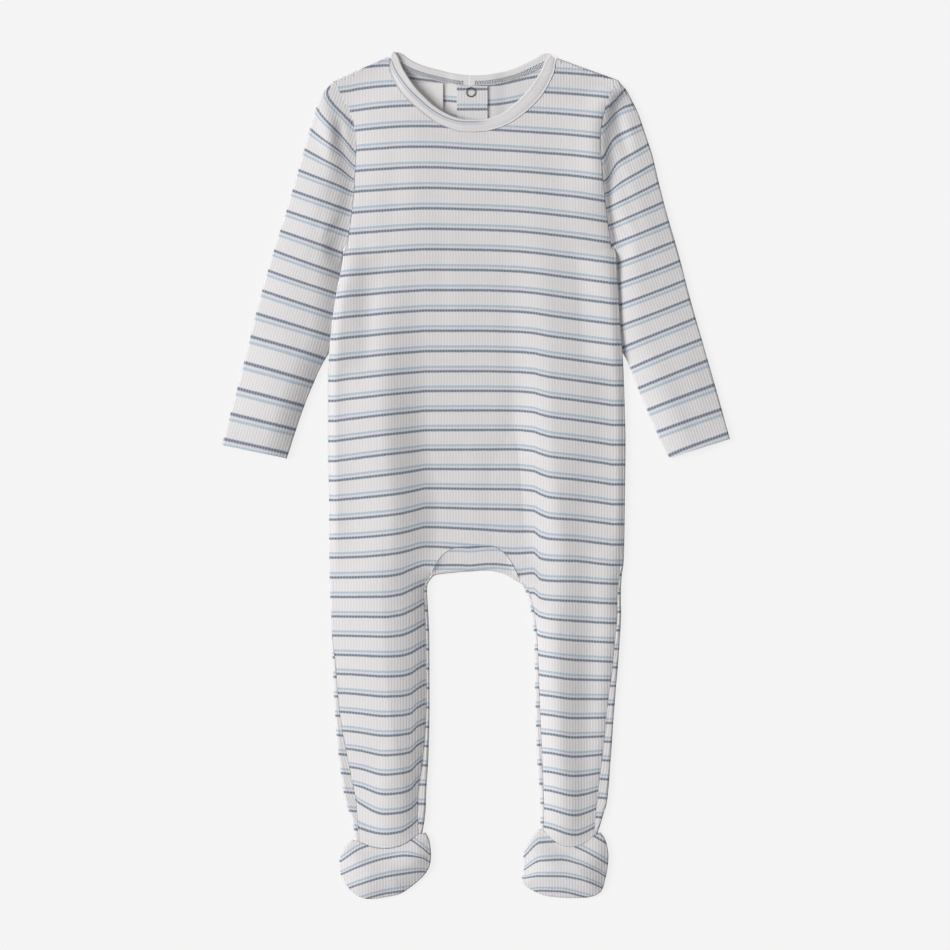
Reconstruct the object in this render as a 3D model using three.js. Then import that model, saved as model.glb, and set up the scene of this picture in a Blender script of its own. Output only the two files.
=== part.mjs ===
// Baby romper: a long-sleeved, footed one-piece in striped rib jersey, laid out flat on its back.
// Millimetres. +X is to the right seen from above, +Y runs from the feet to the neck, +Z is up.
// The back lies on z = 0, and the origin is under the middle of the whole part.
//
// Every cloth piece is a wall: the middle surface of the cloth is laid out as rows of points,
// and wall() gives it its thickness. Pieces that are sewn together lie SEAM apart.
import * as THREE from 'three';

// ------------------------------------------------------------------ driving sizes
const CLOTH = 1.2;                       // rib jersey
const BAND_CLOTH = 1.8;                  // neckband, folded double
const LABEL_CLOTH = 0.8;                 // woven label
const SEAM = 0.3;                        // between pieces that are sewn together
const SEAM_CURVED = 0.4;                 // the same where the seam is a curve
const FOLD = 1.35;                       // radius of the cloth's middle round a folded edge
const EDGE = CLOTH / 2 + FOLD;           // from a folded edge's outside to where the fold begins
const BACK_Z = CLOTH / 2;                // middle of the layer that lies on the surface
const FRONT_Z = BACK_Z + 2 * FOLD;       // middle of the upper layer at a folded edge
const BODY_CROWN = 2.0;                  // how much the front rises between its edges
const LEG_CROWN = 1.5;
const SLEEVE_CROWN = 1.3;
const FOOT_CROWN = 1.6;

const TUCK_LIFT = 3.5;                   // the body's side rises by this where a sleeve lies under it
const TUCK_RADIUS = 0.95;                // the sleeve's folded edge is flatter there
const PLACKET = { left: -12.5, right: 9, top: 293, bottom: 75, raise: 0.8 };
const SNAP = { count: 5, pitch: 48, x: -3.5, top: 288.3, outer: 4, inner: 2.8, height: 0.5 };
const LABEL = { left: -61, right: -24.5, bottom: 274, top: 295 };

// ------------------------------------------------------------------ tables
// Outline of each half, one row for each station from the shoulder (0) to the ankle (39).
// xi, yi: the front's inner end (neckline 0-9, middle 9-24, gusset 24-28, inner leg 28-39)
// xo, yo: its outer end (armhole 0-12, side and outer leg 13-39)
// wo, wi: how far the back panel wraps round the outer and inner folded edge onto the front
const HALF_COLUMNS = ['t', 'xi', 'yi', 'xo', 'yo', 'wo', 'wi'];
const HALF = {
  left: [
    [0, -66, 315.5, -107, 297, 2.6, 2.6],
    [1, -65, 305.5, -103, 289, 2.6, 2.6],
    [2, -61, 295.5, -98.5, 281, 2.6, 2.6],
    [3, -55, 286, -94.5, 273.5, 2.6, 2.6],
    [4, -47, 278, -92, 265.5, 2.6, 2.6],
    [5, -39, 271.5, -90.5, 256.5, 2.6, 2.6],
    [6, -30, 265, -90, 247, 2.6, 2.6],
    [7, -21, 261, -90.5, 237.5, 2.6, 2.6],
    [8, -11, 258, -91, 227, 2.6, 2.6],
    [9, 0, 257.5, -91.5, 215.5, 2.6, 2.6],
    [10, 0, 241, -92.7, 203.5, 2.6, 2.6],
    [11, 0, 224, -94.5, 189, 2.6, 2.6],
    [12, 0, 205, -96.5, 173, 2.6, 2.6],
    [13, 0, 187.5, -97, 162, 2.6, 2.6],
    [14, 0, 160.5, -102, 137.5, 2.6, 2.6],
    [16, 0, 116.5, -106.5, 109, 2.6, 2.6],
    [18, 0, 74, -109, 68, 2.6, 2.6],
    [20, 0, 32, -109, 24, 2.6, 2.6],
    [22, 0, -10.5, -108.3, -21, 2.6, 2.6],
    [24, 0, -54.5, -108, -66.5, 2.6, 2.6],
    [25, -12.5, -55, -107.9, -75.5, 2.6, 2.6],
    [26, -23, -59.5, -107.6, -84, 2.6, 2.6],
    [27, -29.5, -67.5, -107.4, -90.5, 2.6, 2.6],
    [28, -33.5, -75.5, -107.2, -97, 2.6, 2.6],
    [29, -39, -86, -106.6, -104.5, 2.6, 2.6],
    [31, -37.4, -125.5, -105.7, -137, 2.6, 2.7],
    [33, -37.2, -174.5, -102.7, -177, 3.8, 2.7],
    [35, -40, -216, -96.5, -214.5, 7, 4.5],
    [37, -43.6, -246.5, -90.5, -245, 8.6, 6.4],
    [38, -43.6, -261, -88.8, -262, 4.4, 5.4],
    [39, -43, -271.5, -88.3, -277, 2.6, 3],
  ],
  right: [
    [0, 61.5, 314.5, 107, 298, 2.6, 2.6],
    [1, 60, 305.5, 103, 289, 2.6, 2.6],
    [2, 56, 295.5, 99.5, 281, 2.6, 2.6],
    [3, 50.5, 286, 97, 273, 2.6, 2.6],
    [4, 43, 277.5, 95, 264.5, 2.6, 2.6],
    [5, 35, 270.5, 94, 256.5, 2.6, 2.6],
    [6, 27, 265, 94, 247, 2.6, 2.6],
    [7, 18, 261, 94.6, 237.5, 2.6, 2.6],
    [8, 8.5, 258.5, 95.6, 227, 2.6, 2.6],
    [9, 0, 257.5, 96.7, 215.5, 2.6, 2.6],
    [10, 0, 241, 98, 203.5, 2.6, 2.6],
    [11, 0, 224, 99.8, 189, 2.6, 2.6],
    [12, 0, 205, 102, 173, 2.6, 2.6],
    [13, 0, 187.5, 103.2, 162, 2.6, 2.6],
    [14, 0, 160.5, 105.2, 137.5, 2.6, 2.6],
    [16, 0, 116.5, 107.3, 109, 2.6, 2.6],
    [18, 0, 74, 109.8, 68, 2.6, 2.6],
    [20, 0, 32, 110.9, 24, 2.6, 2.6],
    [22, 0, -10.5, 110.5, -21, 2.6, 2.6],
    [24, 0, -54.5, 109.5, -66.5, 2.6, 2.6],
    [25, 11.5, -54.5, 108.3, -75.5, 2.6, 2.6],
    [26, 21, -59, 107.6, -84, 2.6, 2.6],
    [27, 27.5, -67, 107.3, -90.5, 2.7, 2.6],
    [28, 33.8, -79.5, 107, -97, 3, 2.6],
    [29, 40.2, -88, 107, -103, 3.2, 2.6],
    [31, 46.6, -121, 104.8, -131.5, 4, 2.6],
    [33, 48.6, -174.5, 99.8, -174, 5.5, 3.5],
    [35, 50.5, -216, 95.3, -216, 7, 4],
    [37, 51.6, -246.5, 91.8, -246.5, 8, 2.7],
    [38, 51.8, -259, 90.2, -260, 5.8, 2.6],
    [39, 51, -268.5, 89.8, -272, 2.6, 2.6],
  ],
};
const ANKLE_SAG = { left: 8.2, right: 11 };       // the ankle seam dips by this in its middle

// Inner, free edge of the neckband on the front, at stations 0-9 of the neckline.
const BAND_COLUMNS = ['t', 'x', 'y'];
const BAND_FRONT = {
  left: [
    [0, -59, 320], [1, -56, 309], [2, -51.5, 300.5], [3, -45.5, 292], [4, -38.5, 284.5],
    [5, -31.5, 278], [6, -24, 273], [7, -16.5, 269.5], [8, -8.5, 267.5], [9, 0, 267],
  ],
  right: [
    [0, 54, 318], [1, 50.5, 306.5], [2, 45.5, 298], [3, 40.5, 290.5], [4, 34.5, 284],
    [5, 28, 278], [6, 21, 272.5], [7, 14, 269.5], [8, 7, 267.5], [9, 0, 267],
  ],
};
// Back neckline: xs, ys where the band is sewn to the back, xf, yf its free edge.
const BACK_NECK_COLUMNS = ['t', 'xs', 'ys', 'xf', 'yf'];
const BACK_NECK = {
  left: [
    [2, -55, 306.3, -49.5, 313.2],
    [4, -42, 300.6, -38.5, 308.2],
    [6, -28.5, 297, -25.5, 304.8],
    [7, -24.3, 296, -22, 303.8],
    [8, -12.5, 293.6, -11.5, 301.8],
  ],
  right: [
    [2, 47, 305.8, 43, 313],
    [4, 30, 298.3, 27.5, 305.8],
    [6, 9, 293.8, 8.5, 301.6],
    [7, -1.5, 293.5, -1.5, 301.1],
    [8, -12.1, 293.6, -12.1, 301],
  ],
};
const BAND_MEETS_AT = -4.5;                       // the band's two ends meet here, over the placket

// Sleeves, one row for each ring from the armhole (0) to the cuff (20):
// xo, yo on the outer folded edge, xi, yi on the inner one.
const SLEEVE_COLUMNS = ['r', 'xo', 'yo', 'xi', 'yi'];
const SLEEVE = {
  left: [
    [0, -107, 297, -97.5, 171], [1, -113.5, 290.5, -100.4, 169.2],
    [2, -118.5, 282, -101.2, 163], [3, -121.5, 273, -101.7, 156],
    [4, -124.5, 263, -101.4, 148], [5, -127.5, 252.5, -101, 140],
    [6, -130.5, 242, -101.8, 132], [8, -137.5, 217.5, -104.2, 116],
    [10, -145.5, 190.5, -107.2, 99.5], [11, -150, 177, -110.5, 91.5],
    [12, -154.5, 162, -115.5, 83], [14, -164, 129, -123, 66.5],
    [16, -173, 92, -130, 49], [18, -183, 54, -136.5, 30],
    [19, -187.5, 37.5, -139.5, 20.5], [20, -191.5, 22, -142.5, 11.5],
  ],
  right: [
    [0, 107, 298, 103, 171], [1, 114, 290.5, 107, 169.6],
    [2, 119, 281, 107.4, 163], [3, 123.2, 272.5, 107, 156],
    [4, 126.5, 263, 105.8, 149], [5, 130, 252.5, 104.6, 141],
    [6, 133.5, 242, 104.4, 133], [8, 139.3, 217.5, 104.9, 117],
    [10, 146.5, 190.5, 107.5, 100], [11, 150.5, 177, 110.8, 92],
    [12, 154.7, 162, 115.5, 83], [14, 163.3, 129, 121.8, 66.5],
    [16, 174, 92, 129.2, 49], [18, 184.5, 55, 137, 31],
    [19, 188.8, 39.5, 141.5, 21], [20, 192.5, 26.5, 146.5, 12],
  ],
};
const SLEEVE_RINGS = 20;
const BULGE_RINGS = 6;                            // rings over which the armhole's curve dies away

// Lower edge of the gusset, folded under between the legs, from the left leg to the right one.
const CROTCH = [
  [-30.2, -76], [-26, -75.8], [-20, -75.2], [-10.5, -74.3], [0, -73.6],
  [10.5, -73.2], [18.5, -74.8], [25, -77.2], [29.6, -80.2],
];

// Outline of each foot from the outer end of the ankle round the toes to its inner end.
const FOOT = {
  left: [
    [-94, -276.3], [-100, -283.5], [-103.3, -293.5], [-102, -302.5], [-96.5, -312.5],
    [-91.5, -317.5], [-83.5, -321], [-76, -321.2], [-68.5, -320], [-57, -317.5], [-52, -314.5],
    [-45, -309.3], [-37.8, -302.3], [-34, -295], [-33.5, -283.5], [-35, -275.5], [-37.4, -271],
  ],
  right: [
    [46.6, -268.8], [43.3, -272.8], [38.2, -281], [35.8, -289], [36.5, -297.5], [34.8, -305.5],
    [36.2, -310], [43, -314.8], [51.5, -318.5], [61.5, -320], [79, -320.5], [88, -319.5],
    [95, -315.5], [98.5, -305.5], [100.5, -294], [100.5, -285], [98, -275.5], [94.6, -270.6],
  ],
};

// The largest folds of the upper side: x, y of the middle, lean (dx for each dy),
// half width, half length, and height (a trough is negative).
const FOLD_COLUMNS = ['x', 'y', 'lean', 'width', 'length', 'height'];
const BODY_FOLDS = [
  [-52, -10, -0.04, 13, 95, -0.75],
  [-76, 20, 0.02, 12, 120, 0.45],
  [26, -20, 0.03, 14, 90, -0.45],
  [50, -10, 0.0, 15, 120, 0.45],
  [80, -30, 0.05, 11, 75, -0.6],
  [-62, 190, 0.1, 14, 70, -0.5],
  [66, 175, -0.12, 15, 80, -0.5],
  [-48, -125, 0.02, 8, 70, -0.7],
  [-82, -170, -0.05, 12, 80, 0.45],
  [-52, -235, 0.1, 7, 40, -0.5],
  [58, -150, -0.02, 9, 90, 0.4],
  [84, -160, -0.06, 10, 85, -0.7],
];
const SLEEVE_FOLDS = {
  left: [
    [-108, 214, 0.35, 7, 34, -0.75],
    [-121, 190, 0.3, 9, 45, 0.5],
    [-134, 130, 0.35, 8, 50, -0.6],
    [-152, 84, 0.35, 8, 45, 0.4],
    [-150, 55, 0.3, 7, 36, -0.4],
  ],
  right: [
    [112, 220, -0.3, 7, 36, -0.7],
    [127, 196, -0.3, 9, 45, 0.5],
    [133, 140, -0.35, 8, 46, -0.55],
    [153, 96, -0.35, 9, 50, 0.45],
    [158, 60, -0.3, 7, 40, -0.45],
  ],
};

// ------------------------------------------------------------------ small maths
const mix = (a, b, u) => a + (b - a) * u;
const clamp01 = (u) => Math.min(1, Math.max(0, u));
const ease = (u) => clamp01(u) ** 2 * (3 - 2 * clamp01(u));
const vec = (x, y, z = 0) => new THREE.Vector3(x, y, z);
const range = (count) => Array.from({ length: count }, (_, index) => index);
const radians = THREE.MathUtils.degToRad;

/** A smooth curve through (keys, values) that never swings past them. */
function monotoneCurve(keys, values) {
  const last = keys.length - 1;
  const slopes = range(last).map((i) => (values[i + 1] - values[i]) / (keys[i + 1] - keys[i]));
  const tangents = keys.map((_, i) => {
    if (i === 0) return slopes[0];
    if (i === last) return slopes[last - 1];
    const [before, after] = [slopes[i - 1], slopes[i]];
    return before * after <= 0 ? 0 : (2 * before * after) / (before + after);
  });
  return (key) => {
    const at = Math.min(keys[last], Math.max(keys[0], key));
    let i = 0;
    while (i < last - 1 && at > keys[i + 1]) i += 1;
    const step = keys[i + 1] - keys[i];
    const u = (at - keys[i]) / step;
    const rise = values[i + 1] - values[i];
    return values[i] + u * (step * tangents[i] + u * (3 * rise - step * (2 * tangents[i] + tangents[i + 1])
      + u * (step * (tangents[i] + tangents[i + 1]) - 2 * rise)));
  };
}

/** A table's columns as functions of its first column. */
function track(columns, rows) {
  const keys = rows.map((row) => row[0]);
  const entries = columns.slice(1).map((name, column) => (
    [name, monotoneCurve(keys, rows.map((row) => row[column + 1]))]
  ));
  return Object.fromEntries(entries);
}

/** A smooth curve through points on the plane, by length: u from 0 to 1. */
function outline(points) {
  const curve = new THREE.CatmullRomCurve3(points.map(([x, y]) => vec(x, y)), false, 'centripetal');
  return (u) => curve.getPointAt(clamp01(u));
}

/** Points moved sideways on the plane, to the right of the way they run (or left, if negative). */
function offsetPath(points, distance) {
  return points.map((point, i) => {
    const before = points[Math.max(0, i - 1)];
    const after = points[Math.min(points.length - 1, i + 1)];
    const along = vec(after.x - before.x, after.y - before.y).normalize();
    return vec(point.x + along.y * distance, point.y - along.x * distance, point.z);
  });
}

/** Height of a table of folds at (x, y). */
function foldHeight(folds, x, y) {
  return folds.reduce((sum, row) => {
    const fold = Object.fromEntries(FOLD_COLUMNS.map((name, i) => [name, row[i]]));
    const along = (y - fold.y) / fold.length;
    const across = (x - fold.x - fold.lean * (y - fold.y)) / fold.width;
    return sum + fold.height * Math.exp(-along * along - across * across);
  }, 0);
}

// ------------------------------------------------------------------ cloth walls
/** The middle surface of a cloth piece: points welded where they coincide, and quads. */
class Cloth {
  constructor() {
    this.points = [];
    this.quads = [];
    this.seen = new Map();
  }

  point(p) {
    const key = [p.x, p.y, p.z].map((value) => Math.round(value * 1000)).join();
    if (!this.seen.has(key)) {
      this.seen.set(key, this.points.length);
      this.points.push(p.clone());
    }
    return this.seen.get(key);
  }

  /** Adds rows of points. closed joins each row's end to its start; flip turns the faces over. */
  rows(rows, { closed = false, flip = false } = {}) {
    const grid = rows.map((row) => row.map((p) => this.point(p)));
    for (let r = 0; r + 1 < grid.length; r += 1) {
      const count = grid[r].length;
      for (let c = 0; c < (closed ? count : count - 1); c += 1) {
        const next = (c + 1) % count;
        const quad = [grid[r][c], grid[r][next], grid[r + 1][next], grid[r + 1][c]];
        this.quads.push(flip ? quad.reverse() : quad);
      }
    }
    return this;
  }
}

/** The wall of a cloth piece: both faces, half the thickness off its middle, and its cut edges. */
function wall(cloth, thickness) {
  const triangles = cloth.quads.flatMap(([a, b, c, d]) => [[a, b, c], [a, c, d]])
    .filter(([a, b, c]) => a !== b && b !== c && c !== a);
  const normals = cloth.points.map(() => vec(0, 0));
  const edges = new Map();
  triangles.forEach((triangle) => {
    const [a, b, c] = triangle.map((index) => cloth.points[index]);
    const normal = b.clone().sub(a).cross(c.clone().sub(a));
    triangle.forEach((index) => normals[index].add(normal));
    triangle.forEach((from, i) => edges.set(`${from},${triangle[(i + 1) % 3]}`, [from, triangle[(i + 1) % 3]]));
  });
  const count = cloth.points.length;
  const positions = new Float32Array(count * 6);
  cloth.points.forEach((point, index) => {
    const normal = normals[index].normalize().multiplyScalar(thickness / 2);
    point.clone().add(normal).toArray(positions, index * 3);
    point.clone().sub(normal).toArray(positions, (count + index) * 3);
  });
  const faces = triangles.flatMap(([a, b, c]) => [a, b, c, count + a, count + c, count + b]);
  edges.forEach(([from, to]) => {
    if (edges.has(`${to},${from}`)) return;
    faces.push(from, count + from, to, to, count + from, count + to);
  });
  const geometry = new THREE.BufferGeometry();
  geometry.setAttribute('position', new THREE.BufferAttribute(positions, 3));
  geometry.setIndex(faces);
  geometry.computeVertexNormals();
  return geometry;
}

// ------------------------------------------------------------------ the body's shape
const SIDES = {
  left: { sign: -1, half: track(HALF_COLUMNS, HALF.left) },
  right: { sign: 1, half: track(HALF_COLUMNS, HALF.right) },
};
const GUSSET_TOP = 24;                   // stations of HALF
const CROTCH_CORNER = 28;
const UNDERARM = 12;
const SIDE_START = 12.5;                 // the side fold begins just below the underarm
const ANKLE = 39;
const LOWER_STATIONS = [13, 14, 15, 16, 17, 18, 19, 20, 22, 24, 25, 26, 27, 28, 29, 30, 31, 32, 33,
  34, 35, 36, 37, 38, ANKLE];
const FRONT_COLUMNS = [0, 0.12, 0.25, 0.38, 0.52, 0.66, 0.78, 0.88, 0.95, 1];
const BACK_COLUMNS = [0, 0.07, 0.15, 0.32, 0.52, 0.7, 0.84, 0.94, 1];

Object.values(SIDES).forEach((side) => {
  const { half, sign } = side;
  const neck = vec(half.xi(0), half.yi(0));
  const tip = vec(half.xo(0), half.yo(0));
  const along = tip.clone().sub(neck).normalize();
  side.shoulderOut = sign < 0 ? vec(along.y, -along.x) : vec(-along.y, along.x);
  side.inner = (t) => {
    const p = vec(half.xi(t), half.yi(t));
    return t === 0 ? p.addScaledVector(side.shoulderOut, -EDGE) : p;
  };
  side.outer = (t) => {
    const p = vec(half.xo(t), half.yo(t));
    return t === 0 ? p.addScaledVector(side.shoulderOut, -EDGE) : p;
  };
  const keys = HALF[sign < 0 ? 'left' : 'right'].filter(([t]) => t > UNDERARM).reverse();
  side.edgeAt = monotoneCurve(keys.map((row) => row[4]), keys.map((row) => row[3] + sign * row[5]));
});

/** How far the body's side is lifted by the sleeve that lies under it. */
function tuckLift(side, x, y) {
  const along = ease((172 - y) / 11) * ease((y - 68) / 24);
  const inwards = (side.edgeAt(y) - x) * side.sign;
  return TUCK_LIFT * along * ease((32 - inwards) / 25);
}

/** How far the back rises over the snaps' caps, so that they lie level with it. */
function placketRaise(x, y) {
  const across = ease((x - PLACKET.left + 10) / 9) * ease((PLACKET.right + 15 - x) / 11);
  return PLACKET.raise * across * ease((y - PLACKET.bottom + 22) / 18);
}

/** Height of the front's middle at station t, c of the way from its inner to its outer end. */
function frontHeight(side, t, c, p) {
  const width = side.outer(t).distanceTo(side.inner(t));
  const legness = ease((t - GUSSET_TOP) / (CROTCH_CORNER - GUSSET_TOP));
  const inner = mix(1, ease((c * width) / 16), legness);
  const soft = ease(((1 - c) * width) / 26) * inner * ease(t / 4) * ease((ANKLE + 1.5 - t) / 4);
  const crown = mix(BODY_CROWN, LEG_CROWN, ease((t - GUSSET_TOP) / 8));
  const overPlacket = ease((Math.abs(p.x) - 14) / 16);
  const folds = foldHeight(BODY_FOLDS, p.x, p.y) * mix(overPlacket, 1, legness);
  return FRONT_Z + soft * (crown + folds) + tuckLift(side, p.x, p.y);
}

/** A point of the row at station t. On the body a row runs level before it dips to the side. */
function rowPoint(from, to, t, c) {
  const dip = mix(c, c * c, ease((t - 9) / 4) * ease((31 - t) / 3));
  return vec(mix(from.x, to.x, c), mix(from.y, to.y, dip));
}

function frontPoint(side, t, c, name) {
  const p = rowPoint(side.inner(t), side.outer(t), t, c);
  p.y -= ANKLE_SAG[name] * ease((t - 34) / 5) * 4 * c * (1 - c);
  p.z = frontHeight(side, t, c, p);
  return p;
}

const ROLL_ANGLES = [30, 57, 72.5];      // a quarter fold, stopping so that the cut edges lie SEAM apart

/** A row of points carried round a quarter fold: up = 1 from the upper layer, -1 from the lower. */
function quarterFold(row, out, up) {
  return ROLL_ANGLES.map((degrees) => row.map((p, i) => {
    const angle = radians(degrees);
    const way = Array.isArray(out) ? out[i] : out;
    return p.clone().addScaledVector(way, FOLD * Math.sin(angle))
      .add(vec(0, 0, -up * FOLD * (1 - Math.cos(angle))));
  }));
}

// ------------------------------------------------------------------ front
function frontPiece() {
  const cloth = new Cloth();
  Object.entries(SIDES).forEach(([name, side]) => {
    const stations = [...range(UNDERARM + 1), ...LOWER_STATIONS];
    const rows = stations.map((t) => FRONT_COLUMNS.map((c) => frontPoint(side, t, c, name)));
    rows.unshift(...quarterFold(rows[0], side.shoulderOut, 1).reverse());
    cloth.rows(rows, { flip: side.sign > 0 });
  });
  return wall(cloth, CLOTH);
}

// ------------------------------------------------------------------ back
const backHeight = (side, x, y) => BACK_Z + placketRaise(x, y) + tuckLift(side, x, y);

/** Where a folded edge begins on the lower layer, for a fold that ends at seam + way * wrap. */
function foldStart(seamX, way, wrap) {
  return seamX + way * (wrap - EDGE);
}

/** From the cut edge on top, round the fold, down to where the flat back begins. */
function wrapRow(side, x, y, way, wrap) {
  const start = foldStart(x, way, wrap);
  const lift = tuckLift(side, start, y);
  const middle = (BACK_Z + FRONT_Z) / 2 + lift;
  const arc = [0, 45, 90, 135].map((degrees) => {
    const angle = radians(degrees);
    return vec(start + way * FOLD * Math.sin(angle), y, middle + FOLD * Math.cos(angle));
  });
  return [vec(x + way * SEAM, y, FRONT_Z + lift), ...arc, vec(start, y, BACK_Z + lift)];
}

function backPiece(name) {
  const side = SIDES[name];
  const { half, sign } = side;
  const neck = track(BACK_NECK_COLUMNS, BACK_NECK[name]);
  const placketEdge = sign < 0 ? PLACKET.left : PLACKET.left + SEAM + 0.1;
  const middleEdge = sign * (SEAM + 0.1) / 2;
  const innerEnd = (t) => {
    if (t === 0) return side.inner(0);
    if (t <= 8) return vec(neck.xs(t), neck.ys(t));
    const y = half.yi(t);
    if (t < GUSSET_TOP) return vec(mix(middleEdge, placketEdge, ease((y - PLACKET.bottom + 18) / 14)), y);
    if (t === GUSSET_TOP) return vec(middleEdge, y);
    if (t < CROTCH_CORNER) return side.inner(t);
    return vec(foldStart(half.xi(t), -sign, half.wi(t)), y);
  };
  const outerEnd = (t) => {
    if (t <= UNDERARM) return side.outer(t);
    return vec(foldStart(half.xo(t), sign, half.wo(t)), half.yo(t));
  };
  const stations = [0, 2, 4, 6, 7, 8, 10, UNDERARM, SIDE_START, ...LOWER_STATIONS];
  const rows = stations.map((t) => BACK_COLUMNS.map((c) => {
    const p = rowPoint(innerEnd(t), outerEnd(t), t, c);
    p.z = backHeight(side, p.x, p.y);
    return p;
  }));
  // the flat part's ends take the fold's own height, so that the two weld
  stations.forEach((t, i) => {
    if (t > UNDERARM) rows[i].at(-1).z = BACK_Z + tuckLift(side, rows[i].at(-1).x, half.yo(t));
  });
  rows.unshift(...quarterFold(rows[0], side.shoulderOut, -1).reverse());
  const outerFold = stations.filter((t) => t >= SIDE_START)
    .map((t) => wrapRow(side, half.xo(t), half.yo(t), sign, half.wo(t)));
  const innerFold = stations.filter((t) => t >= CROTCH_CORNER)
    .map((t) => wrapRow(side, half.xi(t), half.yi(t), -sign, half.wi(t)));
  const cloth = new Cloth();
  cloth.rows(rows, { flip: sign < 0 });
  cloth.rows(outerFold, { flip: sign > 0 });
  cloth.rows(innerFold, { flip: sign < 0 });
  return wall(cloth, CLOTH);
}

// ------------------------------------------------------------------ neckband
const BAND_Z = BAND_CLOTH / 2;
const BAND_FOLD = (FRONT_Z - BAND_Z) / 2;
const BAND_END_GAP = 0.4;

/** One half of the band: middle front, over the shoulder, to the middle of the back. */
function bandRows(name) {
  const side = SIDES[name];
  const { sign } = side;
  const free = track(BAND_COLUMNS, BAND_FRONT[name]);
  const seams = range(10).map((t) => side.inner(t));
  const sewn = offsetPath(seams, sign * (SEAM_CURVED + 0.05));
  sewn[0] = seams[0].clone().add(vec(-sign * (SEAM + 0.2), 0));
  sewn[9] = vec(0, seams[9].y + SEAM_CURVED);
  const edge = vec(free.x(0), free.y(0));
  const crease = edge.clone().sub(vec(side.half.xi(0), side.half.yi(0))).normalize();
  const out = sign < 0 ? vec(-crease.y, crease.x) : vec(crease.y, -crease.x);
  const row = (outer, inner, zOuter, zInner) => [0, 0.5, 1].map((c) => (
    vec(mix(outer.x, inner.x, c), mix(outer.y, inner.y, c), mix(zOuter, zInner, c))
  ));
  const front = range(10).map((t) => {
    const inner = vec(free.x(t), free.y(t));
    if (t === 0) inner.addScaledVector(out, -(BAND_Z + BAND_FOLD));
    const z = frontHeight(side, t, 0, seams[t]);
    return row(sewn[t], inner, z, z);
  });
  const shoulder = [45, 90, 135].map((degrees) => front[0].map((p) => (
    p.clone().addScaledVector(out, BAND_FOLD * Math.sin(radians(degrees)))
      .add(vec(0, 0, -BAND_FOLD * (1 - Math.cos(radians(degrees)))))
  )));
  const under = front[0].map((p) => vec(p.x, p.y, BAND_Z));
  const backNeck = BACK_NECK[name].map(([, xs, ys, xf, yf]) => [vec(xs, ys), vec(xf, yf)])
    .filter(([seam]) => sign * (seam.x - BAND_MEETS_AT) > 2);
  const end = BAND_MEETS_AT + sign * BAND_END_GAP / 2;
  backNeck.push([vec(end, 293.6), vec(end, 301.1)]);
  const backSewn = offsetPath([side.inner(0), ...backNeck.map(([seam]) => seam)], sign * SEAM_CURVED);
  const back = backNeck.map(([, edgePoint], i) => row(backSewn[i + 1], edgePoint, BAND_Z, BAND_Z));
  back.forEach((points) => points.forEach((p) => { p.z += placketRaise(p.x, p.y); }));
  return [...front.reverse(), ...shoulder, under, ...back];
}

function neckbandPiece() {
  const cloth = new Cloth();
  cloth.rows(bandRows('left'), { flip: true });
  cloth.rows(bandRows('right'));
  return wall(cloth, BAND_CLOTH);
}

// ------------------------------------------------------------------ sleeves
function sleevePiece(name) {
  const side = SIDES[name];
  const ring = track(SLEEVE_COLUMNS, SLEEVE[name]);
  const seam = range(UNDERARM + 1).map((t) => side.outer(t));
  const armhole = offsetPath(seam, -side.sign * SEAM_CURVED);
  const lengths = armhole.map((p, i) => (i ? p.distanceTo(armhole[i - 1]) : 0));
  const total = lengths.reduce((sum, length) => sum + length, 0);
  let run = 0;
  const share = lengths.map((length) => { run += length; return run / total; });
  const bulge = armhole.map((p, i) => p.clone().sub(armhole[0].clone().lerp(armhole.at(-1), share[i])));

  const rings = range(SLEEVE_RINGS + 1).map((r) => {
    const out = vec(ring.xo(r), ring.yo(r));
    const inn = vec(ring.xi(r), ring.yi(r));
    const chord = inn.clone().sub(out).normalize();
    const tucked = ease(r / 3) * ease((13 - r) / 2);
    const innerTop = mix(FRONT_Z, BACK_Z + 2 * TUCK_RADIUS, tucked);
    const innerEdge = CLOTH / 2 + (innerTop - BACK_Z) / 2;
    const start = r === 0 ? armhole[0] : out.addScaledVector(chord, EDGE);
    const end = r === 0 ? armhole.at(-1) : inn.addScaledVector(chord, -innerEdge);
    const width = start.distanceTo(end);
    const fade = clamp01(1 - r / BULGE_RINGS) ** 2;
    const plan = share.map((q, i) => start.clone().lerp(end, q).addScaledVector(bulge[i], fade));
    const rise = ease(r / 3);
    const top = plan.map((p, i) => {
      const q = share[i];
      const soft = rise * ease((q * width) / 18) * ease(((1 - q) * width) / mix(18, 24, tucked));
      const height = soft * (SLEEVE_CROWN + foldHeight(SLEEVE_FOLDS[name], p.x, p.y));
      return vec(p.x, p.y, mix(FRONT_Z, innerTop, q) + height);
    });
    const bottom = plan.map((p) => vec(p.x, p.y, BACK_Z)).filter((_, i) => i % 2 === 0);
    const turn = (from, to, before) => {
      const way = vec(from.x - before.x, from.y - before.y).normalize();
      const radius = (from.z - to.z) / 2;
      return [60, 120].map((degrees) => {
        const angle = radians(degrees);
        const p = from.clone().addScaledVector(way, radius * Math.sin(angle));
        p.z = to.z + radius * (1 + Math.cos(angle));
        return p;
      });
    };
    const innerTurn = turn(top.at(-1), bottom.at(-1), top.at(-2));
    const outerTurn = turn(top[0], bottom[0], top[1]).reverse();
    return [...top, ...innerTurn, ...bottom.reverse(), ...outerTurn];
  });
  const cloth = new Cloth();
  cloth.rows(rings, { closed: true, flip: side.sign < 0 });
  return wall(cloth, CLOTH);
}

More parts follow.
